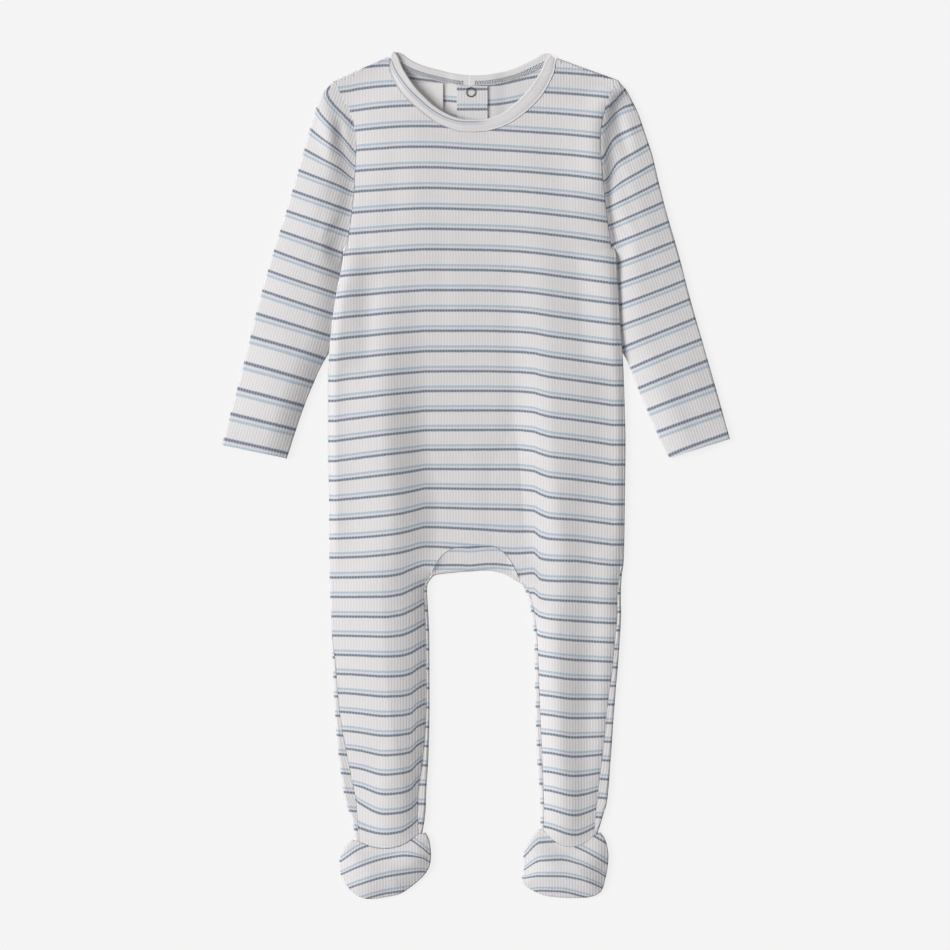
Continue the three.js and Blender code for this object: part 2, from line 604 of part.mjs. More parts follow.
// ------------------------------------------------------------------ gusset
function gussetPiece() {
  const corner = 0.6;                    // the gusset's tips stop short of the legs' folded edges
  const stations = [CROTCH_CORNER, 27, 26, 25];
  const arch = [
    ...stations.map((t) => ['left', t]), ['left', GUSSET_TOP], ...stations.reverse().map((t) => ['right', t]),
  ].map(([name, t]) => {
    const side = SIDES[name];
    const p = side.inner(t);
    if (t === CROTCH_CORNER) p.lerp(side.inner(t - 1), 1 - corner);
    p.z = frontHeight(side, t, 0, p);
    return p;
  });
  const top = offsetPath(arch, SEAM_CURVED);
  const columns = top.map((p, i) => {
    const edge = vec(...CROTCH[i]);
    const way = vec(edge.x - p.x, edge.y - p.y).normalize();
    const fold = edge.clone().addScaledVector(way, -EDGE);
    const onTop = [0, 0.34, 0.68, 1].map((e) => (
      vec(mix(p.x, fold.x, e), mix(p.y, fold.y, e), mix(p.z, FRONT_Z, ease(e)))
    ));
    const round = [45, 90, 135].map((degrees) => {
      const angle = radians(degrees);
      const q = fold.clone().addScaledVector(way, FOLD * Math.sin(angle));
      q.z = BACK_Z + FOLD * (1 + Math.cos(angle));
      return q;
    });
    const under = [1, 0.5, 0].map((e) => vec(mix(p.x, fold.x, e), mix(p.y, fold.y, e), BACK_Z));
    return [...onTop, ...round, ...under];
  });
  return wall(new Cloth().rows(columns), CLOTH);
}

// ------------------------------------------------------------------ feet
const FOOT_COLUMNS = 18;

/** A foot's layer: from the ankle seam to the outline, and a quarter fold round its edge. */
function footPiece(name, upper) {
  const side = SIDES[name];
  const { half, sign } = side;
  const around = outline(sign < 0 ? FOOT[name] : [...FOOT[name]].reverse());
  const drop = SEAM_CURVED + 0.1;
  const ankle = (s) => {
    const across = (s - 0.04) / 0.92;
    const c = 1 - clamp01(across);
    const p = upper ? frontPoint(side, ANKLE, c, name)
      : vec(mix(half.xi(ANKLE), half.xo(ANKLE), c), mix(half.yi(ANKLE), half.yo(ANKLE), c), BACK_Z);
    if (across < 0) p.x += sign * (half.wo(ANKLE) - CLOTH / 2);
    if (across > 1) p.x -= sign * (half.wi(ANKLE) - CLOTH / 2);
    p.y -= drop;
    return p;
  };
  const steps = upper ? [0, 0.1, 0.28, 0.5, 0.72, 0.88, 1] : [0, 0.3, 0.7, 1];
  const layerZ = upper ? FRONT_Z : BACK_Z;
  const ways = [];
  const columns = range(FOOT_COLUMNS + 1).map((index) => {
    const s = index / FOOT_COLUMNS;
    const from = ankle(s);
    const edge = around(s);
    const way = vec(edge.x - from.x, edge.y - from.y).normalize();
    const to = edge.clone().addScaledVector(way, -EDGE);
    const crown = upper ? FOOT_CROWN * ease(from.distanceTo(to) / 26) : 0;
    ways.push(way);
    return steps.map((e) => (
      vec(mix(from.x, to.x, e), mix(from.y, to.y, e), mix(from.z, layerZ, ease(e)) + crown * Math.sin(Math.PI * e))
    ));
  });
  const rows = steps.map((_, step) => columns.map((column) => column[step]));
  rows.push(...quarterFold(rows.at(-1), ways, upper ? 1 : -1));
  return wall(new Cloth().rows(rows, { flip: upper === sign < 0 }), CLOTH);
}

// ------------------------------------------------------------------ what is sewn on
/** The inner placket strip, over the back's opening. */
function placketPiece() {
  const height = BACK_Z + PLACKET.raise + CLOTH + SEAM;
  const rows = range(9).map((row) => {
    const y = mix(PLACKET.top, PLACKET.bottom, row / 8);
    return [PLACKET.left - 1.5, PLACKET.right].map((x) => vec(x, y, height));
  });
  return wall(new Cloth().rows(rows), CLOTH);
}

function labelPiece() {
  const height = CLOTH + 1.5 * SEAM + LABEL_CLOTH / 2;
  const rows = range(3).map((row) => range(5).map((column) => {
    const curl = 0.25 * Math.sin((Math.PI * column) / 4) * (row / 2);
    return vec(mix(LABEL.left, LABEL.right, column / 4), mix(LABEL.top, LABEL.bottom, row / 2), height + curl);
  }));
  return wall(new Cloth().rows(rows), LABEL_CLOTH);
}

/** A snap's open metal ring, flat on the cloth. */
function snapRing(y, z) {
  const profile = [
    new THREE.Vector2(SNAP.inner, 0), new THREE.Vector2(SNAP.outer, 0),
    new THREE.Vector2(SNAP.outer, SNAP.height * 0.6), new THREE.Vector2(SNAP.outer - 0.5, SNAP.height),
    new THREE.Vector2(SNAP.inner, SNAP.height), new THREE.Vector2(SNAP.inner, 0),
  ];
  const geometry = new THREE.LatheGeometry(profile, 16);
  geometry.rotateX(Math.PI / 2);
  geometry.translate(SNAP.x, y, z);
  return geometry;
}

// ------------------------------------------------------------------ the part
const jersey = new THREE.MeshStandardMaterial({ color: 0xdddbdc, roughness: 0.92, metalness: 0 });
const binding = new THREE.MeshStandardMaterial({ color: 0xdedddf, roughness: 0.9, metalness: 0 });
const satin = new THREE.MeshStandardMaterial({ color: 0xe9e7e6, roughness: 0.55, metalness: 0 });
const metal = new THREE.MeshStandardMaterial({ color: 0x9a9ca0, roughness: 0.35, metalness: 1 });

const laid = new THREE.Group();
function add(name, geometry, material) {
  const mesh = new THREE.Mesh(geometry, material);
  mesh.name = name;
  laid.add(mesh);
}

add('front', frontPiece(), jersey);
add('neckband', neckbandPiece(), binding);
add('gusset', gussetPiece(), jersey);
['left', 'right'].forEach((name) => {
  add(`back_${name}`, backPiece(name), jersey);
  add(`sleeve_${name}`, sleevePiece(name), jersey);
  add(`foot_upper_${name}`, footPiece(name, true), jersey);
  add(`foot_sole_${name}`, footPiece(name, false), jersey);
});
add('placket_strip', placketPiece(), jersey);
add('label', labelPiece(), satin);
const capZ = 0;
const studZ = PLACKET.raise + 2 * CLOTH + 2 * SEAM;
range(SNAP.count).forEach((index) => {
  const y = SNAP.top - index * SNAP.pitch;
  add(`snap_cap_${index + 1}`, snapRing(y, capZ), metal);
  add(`snap_ring_${index + 1}`, snapRing(y, studZ), metal);
});

// the origin goes under the middle of the part's box
const box = new THREE.Box3().setFromObject(laid);
const middle = box.getCenter(vec(0, 0));
laid.position.set(-middle.x, -middle.y, -box.min.z);
const group = new THREE.Group();
group.add(laid);

export default group;
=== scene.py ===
"""Baby romper laid out flat on its back: the looks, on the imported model's frame.

The CAD walls give every piece its place. Each cloth piece here is a thin shell on its wall's form,
cut on a flat pattern (x across the ribs, y along them, in millimetres), filled with a fine grid
that follows the ribs, and then placed in space: crowned, creased, and rolled round its folds.
"""
import math

import bpy
import numpy as np
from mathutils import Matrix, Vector
from mathutils.geometry import delaunay_2d_cdt


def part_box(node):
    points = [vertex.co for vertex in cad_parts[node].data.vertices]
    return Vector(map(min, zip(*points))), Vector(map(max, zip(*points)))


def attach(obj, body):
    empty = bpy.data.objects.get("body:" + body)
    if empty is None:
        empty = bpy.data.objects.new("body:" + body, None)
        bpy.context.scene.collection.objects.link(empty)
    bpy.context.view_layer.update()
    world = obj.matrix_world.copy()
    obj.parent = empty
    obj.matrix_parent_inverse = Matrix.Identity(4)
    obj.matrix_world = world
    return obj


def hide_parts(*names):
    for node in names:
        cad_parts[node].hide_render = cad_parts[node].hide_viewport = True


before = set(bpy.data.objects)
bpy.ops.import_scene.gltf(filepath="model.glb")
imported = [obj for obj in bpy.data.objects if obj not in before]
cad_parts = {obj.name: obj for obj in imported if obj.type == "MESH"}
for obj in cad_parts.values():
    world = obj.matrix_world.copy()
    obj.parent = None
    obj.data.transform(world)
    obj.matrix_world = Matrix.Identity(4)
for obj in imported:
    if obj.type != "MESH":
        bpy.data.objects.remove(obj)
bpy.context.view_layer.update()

# ---------------------------------------------------------------- driving sizes, in mm
MM = 0.001
CLOTH = 1.2                      # the CAD walls of rib jersey
SHELL = 0.9                      # the jersey here, without its ribs
BAND_CLOTH = 1.8                 # neckband, folded double
SEAM, SEAM_CURVED = 0.2, 0.16    # between pieces that are sewn together
FOLD = 1.35                      # radius of the cloth's middle round a folded edge
EDGE = CLOTH / 2 + FOLD
BACK_Z = CLOTH / 2               # middle of the layer that lies on the surface
FRONT_Z = BACK_Z + 2 * FOLD      # middle of the upper layer at a folded edge
QUARTER_ARC = FOLD * math.radians(72.5)      # a quarter fold stops short, so cut edges lie SEAM apart
HALF_TURN = math.pi * FOLD

# How far the upper layer stands off the lower one, and how far in from its edges it keeps rising
CHEST_CROWN = 5.0
BELLY_CROWN = {"left": 8.0, "right": 5.8}
LEG_CROWN = {"left": 7.4, "right": 5.2}
SLEEVE_CROWN = {"left": 5.4, "right": 3.6}
FOOT_CROWN = 5.4
CHEST_RISE = {"left": 50, "right": 26}
BELLY_RISE = {"left": 46, "right": 54}
LEG_RISE = {"left": 38, "right": 20}
INNER_LEG_RISE = {"left": 30, "right": 17}
CROTCH_RISE = 32                 # the right leg's inner rise, up by the gusset
SLEEVE_RISE = {"left": (36, 19), "right": (46, 20)}
ARMHOLE_RISE, SHOULDER_RISE, ANKLE_RISE, CUFF_RISE = 21, 33, 32, 30
FOOT_RISE, FOOT_ANKLE_RISE = 26, 18

ARMHOLE_RIDGE = {"left": 0.0, "right": 5.4}  # the seam stands up, and falls away to the sleeve
RIDGE_REACH = {"left": 11, "right": 13.5}    # on the front; on the sleeve it is steeper
SLEEVE_RIDGE_REACH = 3.0, 7.0                # at the underarm and above
SLEEVE_BEND = {"left": 4.0, "right": 13.0}   # how far the stripes run down beside the armhole
BEND_REACH = 7.5
SIDE_STRIP = {"left": -150.0, "right": -90.0}  # below this the back shows beside the front
STRIP_FADE, UNDERARM_FADE = 40, 7            # how gradually the front's reach round the side starts and ends
BELLY_EDGE = dict(share=0.3, reach=6)        # the part of the belly's rise that is right at the edge
ANKLE_LOW, FOOT_LOW, CUFF_LOW = 0.3, 0.3, 0.7    # share of the crown that is left at these seams
TUCK_LIFT = 3.5                  # the body's side rises by this where a sleeve lies under it
TUCK_RADIUS = 0.95
UNDERARM_TUCK = dict(x=94, y=172, reach=5, shift=0.32)   # where the back is drawn up at the underarm
SHOULDER_FROM = 30               # the shoulder's fold starts this far from the middle
TROUGH_SLOPES, TROUGH_SHARE = (19, 16), 0.97     # half widths of its slopes, share of the crown it takes

RIB_PITCH = 2.2
RIB_COLUMNS = 4                  # grid columns for each rib
RIB_DEPTH, RIB_WIDTH, RIB_MIDDLE = 0.12, 1.35, 0.6   # the ridges' width, and the share below the cloth's face
ROW, FINE_ROW = 3.0, 1.0         # grid rows along the ribs, and on small pieces with tight folds
RIM_RINGS = 0.6, 1.3             # further points this far inside an outline keep its fold round
STRIPE_PITCH = 15.1              # one light and one dark stripe for each repeat
COURSE_PITCH = 0.9               # one row of stitches

PLACKET = dict(left=-14.0, right=9.0, top=293.0, bottom=75.0, raised=0.8)
LAP = {"left": -12.5, "right": -12.1}        # cut edges of the back halves where they lap
SNAP = dict(count=5, pitch=48.0, x=-3.5, top=288.3, radius=3.35, wire=0.42, half_height=0.25)
SNAP_GRID = 48, 10               # points round a ring and round its section
LABEL = dict(left=-61.0, right=-24.5, bottom=274.0, top=295.0, z=2.05, bulge=0.9, corner=0.5)
LABEL_CLOTH = 0.5
GUSSET = dict(stripe=-55.2, stretch=1.11, wave=0.8, wave_reach=7.5)
SLEEVE_RINGS, AXIS_RING, PER_RING = 20, 8, 8    # rings, the one its axis starts at, samples for each
SLEEVE_TIP = 1.3                 # the sleeve's cloth goes this far past the shoulder's fold
# the back neck's cover stitch: it ends clear of the middle, and this far from the shoulder
STITCH = dict(pitch=2.6, width=2.8, inset=-1.9, loop=0.5, radius=0.2, points=8, end=5)
STITCH_CLEAR = {"left": 9.0, "right": -1.0}
# Dark threads laid along the seams of the gusset, the armholes and the right front neck: painted shade, a
# dark thread put in each crease where the seam's shadow falls
SEAM_SHADE_THREAD, SHADE_THREAD_LIFT = 0.17, 0.06
ARMHOLE_SHADE_THREAD = {"left": (-0.02, 46), "right": (0.06, 18)}     # lift, and start below the shoulder

BAND_Z = BAND_CLOTH / 2
BAND_FOLD = (FRONT_Z - BAND_Z) / 2
BAND_RIB, BAND_RELIEF = 1.7, 0.03
BAND_SIDE = 0.05                 # how much flatter the band is than its cloth
BAND_TURN = 68, 45, 20, 0, -20, -45, -68                 # angles round its free edge
# Rows across the band, outside and inside: how far from its sewn edge, at which shares of its width,
# and how far from its free edge
BAND_OUTSIDE = (0, 0.6, 1.2, 1.7), (0.62, 0.45), (3.4, 2.6, 2.0, 1.4)
BAND_INSIDE = (1.2, 0), (0.5, 0.75), (1.4, 2.4, 3.4)
BAND_SEAM = dict(inset=1.2, depth=0.28, reach=0.45)      # grooves along the band
BAND_HEM = dict(inset=2.6, depth=0.1, reach=0.5)
BAND_MEETS = dict(x=-4.5, sewn=293.6, free=301.1)        # where its two ends meet, at the back
CREST = dict(pull=3.3, reach=7.5)
LINE_SHOWS = ("line_from", "line_to"), ("line_again", "line_end")
INSIDE = 100                     # added to the depth on the band's inside, which carries no stripe
THREAD_SIDES = 6

# Fades: where each starts, and how far on it is whole (a negative length runs down or leftwards)
FADES = dict(
    chest=(130, 70), crown=(50, 140), slack=(-30, -60), legs=(-54, -22), right_leg=(-72, -50),
    middle=(-40, 80), beside_placket=(14, 16), below_placket=(40, -40),
    caps_left=(-22.5, 9), caps_right=(24, -11), caps_end=(53, 18), lap=(57, 14),
    tuck_top=(172, -11), tuck_end=(68, 24), tuck_in=(32, -25),
    armhole_top=(297, -14), armhole_end=(166, 12), armhole_full=(195, 40), armhole_steep=(200, 50),
    bend=(205, 25), ring_tucked=(0, 3), ring_free=(13, -2), gusset_wave=(-12, 12), label_corner=(0.75, 0.25),
    line_from=(-124, 8), line_to=(12, -14), line_again=(72, 12), line_end=(116, -8),
)

# Light, floor and camera
KEY = dict(energy=3.1, azimuth=174, elevation=36, angle=34)
FILL = dict(energy=0.2, azimuth=60, elevation=60, angle=40)
SKY = 0.25
FLOOR = dict(reach=8.0, albedo=0.1, grey=245, glow=0.885)
CAMERA = dict(x=-0.00086, y=-0.0002, height=3.0, across=0.7182, sensor=36)

# the tables below are in the maker's frame, whose centre line is x = 0; this brings them to the part's
_low, _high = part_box("placket_strip")
SHIFT = np.array([
    (_low.x + _high.x) / 2 / MM - (PLACKET["left"] + PLACKET["right"]) / 2,
    (_low.y + _high.y) / 2 / MM - (PLACKET["top"] + PLACKET["bottom"]) / 2,
    0.0,
])

# ---------------------------------------------------------------- tables
# Outline of each half, a row for each station from the shoulder (0) to the ankle (39):
# t, inner end x and y, outer end x and y
HALF = {
    "left": [
        (0, -66, 315.5, -107, 297), (1, -65, 305.5, -103, 289), (2, -61, 295.5, -98.5, 281),
        (3, -55, 286, -94.5, 273.5), (4, -47, 278, -92, 265.5), (5, -39, 271.5, -90.5, 256.5),
        (6, -30, 265, -90, 247), (7, -21, 261, -90.5, 237.5), (8, -11, 258, -91, 227),
        (9, 0, 257.5, -91.5, 215.5), (10, 0, 241, -92.7, 203.5), (11, 0, 224, -94.5, 189),
        (12, 0, 205, -96.5, 173), (13, 0, 187.5, -97, 162), (14, 0, 160.5, -102, 137.5),
        (16, 0, 116.5, -106.5, 109), (18, 0, 74, -109, 68), (20, 0, 32, -109, 24),
        (22, 0, -10.5, -108.3, -21), (24, 0, -54.5, -108, -66.5), (25, -12.5, -55, -107.9, -75.5),
        (26, -23, -59.5, -107.6, -84), (27, -29.5, -67.5, -107.4, -90.5), (28, -33.5, -75.5, -107.2, -97),
        (29, -39, -86, -106.6, -104.5), (31, -37.4, -125.5, -105.7, -137),
        (33, -37.2, -174.5, -102.7, -177), (35, -40, -216, -96.5, -214.5), (37, -43.6, -246.5, -90.5, -245),
        (38, -43.6, -261, -88.8, -262), (39, -43, -271.5, -88.3, -277),
    ],
    "right": [
        (0, 61.5, 314.5, 107, 298), (1, 60, 305.5, 103, 289), (2, 56, 295.5, 99.5, 281),
        (3, 50.5, 286, 97, 273), (4, 43, 277.5, 95, 264.5), (5, 35, 270.5, 94, 256.5),
        (6, 27, 265, 94, 247), (7, 18, 261, 94.6, 237.5), (8, 8.5, 258.5, 95.6, 227),
        (9, 0, 257.5, 96.7, 215.5), (10, 0, 241, 98, 203.5), (11, 0, 224, 99.8, 189),
        (12, 0, 205, 102, 173), (13, 0, 187.5, 103.2, 162), (14, 0, 160.5, 105.2, 137.5),
        (16, 0, 116.5, 107.3, 109), (18, 0, 74, 109.8, 68), (20, 0, 32, 110.9, 24),
        (22, 0, -10.5, 110.5, -21), (24, 0, -54.5, 109.5, -66.5), (25, 11.5, -54.5, 108.3, -75.5),
        (26, 21, -59, 107.6, -84), (27, 27.5, -67, 107.3, -90.5), (28, 33.8, -79.5, 107, -97),
        (29, 40.2, -88, 107, -103), (31, 46.6, -121, 104.8, -131.5), (33, 48.6, -174.5, 99.8, -174),
        (35, 50.5, -216, 95.3, -216), (37, 51.6, -246.5, 91.8, -246.5), (38, 51.8, -259, 90.2, -260),
        (39, 51, -268.5, 89.8, -272),
    ],
}
# How far the back wraps round onto the front at a station, at the outer and at the inner edge,
# where it isn't WRAP
WRAP = 2.6
WRAPS = {
    "left": {
        12: (3.4, 2.6), 13: (3.4, 2.6), 14: (3, 2.6), 31: (2.6, 2.7), 33: (3.8, 2.7), 35: (7, 4.5),
        37: (8.6, 6.4), 38: (4.4, 5.4), 39: (2.6, 3),
    },
    "right": {
        12: (3.6, 2.6), 13: (3.6, 2.6), 14: (3, 2.6), 27: (2.7, 2.6), 28: (3, 2.6), 29: (3.2, 2.6),
        31: (4, 2.6), 33: (5.5, 3.5), 35: (7, 4), 37: (8, 2.7), 38: (5.8, 2.6),
    },
}
GUSSET_TOP, CROTCH_CORNER, UNDERARM, SIDE_START, ANKLE = 24, 28.3, 12, 12.05, 39
ANKLE_SAG = {"left": 8.2, "right": 11.0}

# Free edge of the neckband on the front: station, x, y
BAND_FRONT = {
    "left": [
        (0, -59, 320), (1, -56, 309), (2, -51.5, 300.5), (3, -45.5, 292), (4, -38.5, 284.5),
        (5, -31.5, 278), (6, -24, 273), (7, -16.5, 269.5), (8, -8.5, 267.5), (9, 0, 267),
    ],
    "right": [
        (0, 54, 318), (1, 50.5, 306.5), (2, 45.5, 298), (3, 40.5, 290.5), (4, 34.5, 284),
        (5, 28, 278), (6, 21, 272.5), (7, 14, 269.5), (8, 7, 267.5), (9, 0, 267),
    ],
}
# Back neckline: station, where the band is sewn on (x, y), its free edge (x, y)
BACK_NECK = {
    "left": [
        (2, -55, 306.3, -49.5, 313.2), (4, -42, 300.6, -38.5, 308.2), (6, -28.5, 297, -25.5, 304.8),
        (7, -24.3, 296, -22, 303.8), (8, -12.5, 293.6, -11.5, 301.8),
    ],
    "right": [
        (2, 47, 305.8, 43, 313), (4, 30, 298.3, 27.5, 305.8), (6, 9, 293.8, 8.5, 301.6),
        (7, -1.5, 293.5, -1.5, 301.1), (8, -12.1, 293.6, -12.1, 301),
    ],
}
# A stripe of the binding's own knit: distance along from the middle of the front, and in from the free edge
BAND_LINE = [(-118, 7.4), (-85, 6.0), (-60, 4.7), (-25, 3.0), (0, 1.7), (40, 1.5), (60, 8.2), (118, 8.4)]

# Sleeves, a row for each ring from the armhole (0) to the cuff (20): outer folded edge, inner one
SLEEVE = {
    "left": [
        (0, -107, 297, -97.5, 171), (1, -113.5, 290.5, -99.6, 169.2), (2, -118.5, 282, -100.2, 163),
        (3, -121.5, 273, -100.6, 156), (4, -124.5, 263, -101.4, 148), (5, -127.5, 252.5, -101, 140),
        (6, -130.5, 242, -101.8, 132), (8, -137.5, 217.5, -104.2, 116), (10, -145.5, 190.5, -107.2, 99.5),
        (11, -150, 177, -110.5, 91.5), (12, -154.5, 162, -115.5, 83), (14, -164, 129, -123, 66.5),
        (16, -173, 92, -130, 49), (18, -183, 54, -136.5, 30), (19, -187.5, 37.5, -139.5, 20.5),
        (20, -191.5, 22, -142.5, 11.5),
    ],
    "right": [
        (0, 107, 298, 103, 171), (1, 114, 290.5, 105.6, 169.6), (2, 119, 281, 106, 163),
        (3, 123.2, 272.5, 105.8, 156), (4, 126.5, 263, 105.2, 149), (5, 130, 252.5, 104.6, 141),
        (6, 133.5, 242, 104.4, 133), (8, 139.3, 217.5, 104.9, 117), (10, 146.5, 190.5, 107.5, 100),
        (11, 150.5, 177, 110.8, 92), (12, 154.7, 162, 115.5, 83), (14, 163.3, 129, 121.8, 66.5),
        (16, 174, 92, 129.2, 49), (18, 184.5, 55, 137, 31), (19, 188.8, 39.5, 141.5, 21),
        (20, 192.5, 26.5, 146.5, 12),
    ],
}

# Lower edge of the gusset, folded under between the legs
CROTCH = [
    (-33.6, -78.8), (-30.2, -76.6), (-26, -75.8), (-20, -75.2), (-10.5, -74.3), (0, -73.6),
    (10.5, -73.2), (18.5, -74.8), (25, -77.2), (29.6, -80.4), (34, -82.4),
]
# Outline of each foot from the outer end of the ankle round the toes to its inner end
FOOT = {
    "left": [
        (-94, -276.3), (-100, -283.5), (-103.3, -293.5), (-102, -302.5), (-96.5, -312.5),
        (-91.5, -317.5), (-83.5, -321), (-76, -321.2), (-68.5, -320), (-57, -317.5), (-52, -314.5),
        (-45, -309.3), (-37.8, -302.3), (-34, -295), (-33.5, -283.5), (-35, -275.5), (-37.4, -271),
    ],
    "right": [
        (46.6, -268.8), (43.3, -272.8), (38.2, -281), (35.8, -289), (36.5, -297.5), (34.8, -305.5),
        (36.2, -310), (43, -314.8), (51.5, -318.5), (61.5, -320), (79, -320.5), (88, -319.5),
        (95, -315.5), (98.5, -305.5), (100.5, -294), (100.5, -285), (98, -275.5), (94.6, -270.6),
    ],
}

# Creases of the upper side: x, y of the middle, lean (dx for each dy), half width, half length, height
BODY_CREASES = [
    (24, -20, 0.03, 12, 90, -0.9), (82, -30, 0.05, 11, 75, -0.6), (-2, 76, 0, 8, 60, 1.0),
    (-84, 140, 0.0, 8, 50, -1.6), (-64, 205, 0.1, 10, 45, -0.6), (66, 195, -0.12, 15, 70, -0.7),
    (87, -165, 0.03, 14, 120, -4.0), (60, -150, 0.02, 12, 100, 0.8), (-20, 150, 0.03, 12, 60, -0.5),
    (12, 110, -0.02, 9, 70, -0.6), (-97, 95, 0.02, 6, 50, -0.7), (96, 60, 0.0, 7, 60, -0.6),
    (-70, -235, 0.1, 9, 30, 0.5), (70, -235, -0.1, 9, 30, 0.5),
]
SLEEVE_CREASES = {
    "left": [
        (-115, 264, -0.25, 7, 30, 2.6), (-101, 258, -0.2, 5, 26, -3.0), (-108, 214, 0.35, 7, 34, -1.2),
        (-120, 190, 0.3, 9, 45, 0.5), (-136, 130, 0.35, 9, 50, -0.3), (-152, 84, 0.35, 9, 45, 0.3),
        (-104, 250, 0.25, 5, 22, -1.2), (-100, 192, 0.9, 4, 14, -1.0),
    ],
    "right": [
        (109, 262, -0.3, 6, 30, -3.4), (112, 220, -0.3, 7, 36, -1.4), (127, 196, -0.3, 9, 45, 0.4),
        (140, 140, -0.35, 9, 46, -0.3), (155, 96, -0.35, 9, 50, 0.4), (160, 60, -0.3, 8, 40, -0.4),
        (121, 262, 0.1, 7, 30, 1.0), (106, 192, -0.9, 4, 14, -1.0),
    ],
}
# The dip down the middle of the body: y, the middles of its left and right slopes, how deep it is
TROUGH = [
    (-84, -48, 55, 0.0), (-58, -47, 53, 0.95), (-27, -46, 49, 1.0), (26, -53, 44, 0.95),
    (79, -55, 42, 0.7), (131, -59, 39, 0.4), (184, -71, 36, 0.16), (250, -74, 34, 0.0),
]

# Where the stripes run. Level of stripe k at the middle of the front, in mm
STRIPE_LEVEL = [
    (-4, 305.8), (0, 245.0), (7, 138.6), (11, 77.5), (15, 18.4), (18, -26.2), (20, -57.1), (36, -292.3),
]
# and how far it hangs below that level at each x
DROOP_X = [-105.5, -95, -87.5, -68.5, -57, -49.5, -43.5, -37.5, 0, 30, 43.5, 49.5, 56.5, 75, 94, 103]
DROOP = [
    (-4, 2.5, 1, -0.8, -2.6, -2.7, -2.7, -2.7, -2.6, 0, 1.9, 2.4, 2.6, 2.7, 3.6, 5.3, 6.4),
    (-2, 2.6, 1.5, 0.6, -1.4, -2.1, -2.3, -2.3, -2.3, 0, 1.9, 2.6, 2.9, 3.3, 4.8, 6.8, 7.8),
    (0, 2.3, 1.1, 0.4, -0.8, -1.5, -1.7, -1.7, -1.7, 0, 1.5, 2.4, 2.9, 3.3, 4.8, 7.2, 8.5),
    (2, 3, 1.9, 1.3, 0.2, -0.5, -0.8, -1, -1.1, 0, 1.3, 2.4, 2.9, 3.6, 5.5, 8.3, 9.7),
    (7, 5.7, 4.4, 3.8, 2.1, 1.2, 0.7, 0.3, 0, 0, 0.9, 2.1, 2.9, 3.9, 6.4, 8.8, 10.1),
    (11, 7.2, 5.7, 5, 3, 1.9, 1.2, 0.7, 0.2, 0, 0.5, 1.5, 3, 4.5, 6.9, 9.4, 10.7),
    (15, 8.7, 7.3, 6.3, 3.9, 2.6, 1.7, 0.9, 0.2, 0, -0.2, 1.1, 3.3, 5.3, 7.4, 9.8, 11.3),
    (18, 8.3, 7.6, 7, 5.3, 3.8, 2.1, 0.6, -0.8, 0, 0.6, 1.5, 4.4, 6.8, 8.3, 10.4, 11.7),
    (20, 6, 5.7, 5.4, 3.8, 2.2, 0.4, -1.4, -2.2, 0, 2.9, 2.3, 6.8, 7.9, 8.5, 10.7, 11.6),
    (21, 6.1, 5.9, 5.7, 5, 3.3, 0.2, -2.2, -3.6, 0, 3.8, 2.8, 7.6, 8.5, 8.9, 10.2, 10.7),
    (23, 5.6, 5.7, 5.7, 5.8, 4.4, 1.4, -1.7, -4.6, 0, 2.3, 2.4, 5.8, 7.3, 8.9, 10.2, 10.7),
    (25, 5, 5.2, 5.4, 6, 5.6, 3.8, 0.5, -2.2, 0, 2.5, 3.6, 5.4, 6.5, 8.8, 9.9, 10.4),
    (27, 4.4, 4.8, 5.4, 6.8, 6.5, 5.1, 0.9, -1.8, 0, 2.6, 4.5, 5.8, 6.6, 8.9, 9.1, 9),
    (29, 3.4, 4.1, 4.9, 7.2, 6.6, 5.4, 0.2, -1.9, 0, 2.6, 4.8, 5.6, 6.2, 8.7, 8.2, 7.5),
    (31, 1.2, 2, 3.1, 7.4, 6.5, 4.8, -0.8, -4, 0, 2.3, 4.2, 5, 5.6, 8.6, 6.5, 4.5),
    (32, -1.4, 0.5, 2, 7.6, 6.7, 4.3, -2.1, -6, 0, 1.7, 3.4, 4.4, 5.2, 8.8, 4.8, 1.5),
    (33, -12, -8.5, -0.2, 7.9, 7, 4.5, -0.7, -4.8, 0, 1, 2.6, 3.7, 4.7, 9, 3, -1),
    (34, -7.3, -2, 4.4, 8.4, 6.9, 2.9, -2, -5, 0, -0.5, 1.8, 2.8, 4.1, 9.2, 1.7, -2.5),
]
DROOP.append((36, *DROOP[-1][1:]))
# the same on the back, whose leg stripes lie off from the front's
BACK_DROOP_X = [-110, -60, -19, -12.5, 10, 49, 110]
BACK_DROOP = [
    (-4, -12, -9.6, -4.2, -4.2, -2.6, -10.3, -13), (-2, -12, -9.6, -6.4, -5.8, -3.6, -9.5, -12),
    (0, -10, -10, -9, -8.5, -4.5, -8, -10), (5, -2, -5, -5, -5, -4, -5, -2), (15, 7, 3, 1, 1, 0, 4, 7),
    (21, 7.5, 4, 1, 1, 0, 3, 4), (29, 7.5, 2, 0.4, 0, 0, 0, -2), (36, 7, 2, 0, 0, 0, 0, -6),
]
# Sleeve stripes: stripe, its y on the outer and on the inner edge
SLEEVE_STRIPES = {
    "left": [
        (0, 294.3, 267.6), (1, 277.3, 246), (2, 260.9, 236), (3, 245.5, 225.3), (4, 229.6, 213.6),
        (6, 198.8, 182.8), (8, 168.8, 150.3), (10, 138.7, 119.4), (12, 104, 86.9), (14, 64.6, 51.3),
        (16, 26.5, 15.4), (17, 8, -2),
    ],
    "right": [
        (0, 292.5, 288), (1, 279.3, 274.8), (2, 264.2, 250.4), (3, 249.3, 229.2), (4, 234.7, 213.3),
        (6, 205.6, 187.3), (8, 175.8, 158.4), (10, 146.6, 125.9), (12, 117.9, 94.7), (14, 86, 64.6),
        (16, 49, 31.6), (17, 31, 13.7), (18, 13, -4),
    ],
}
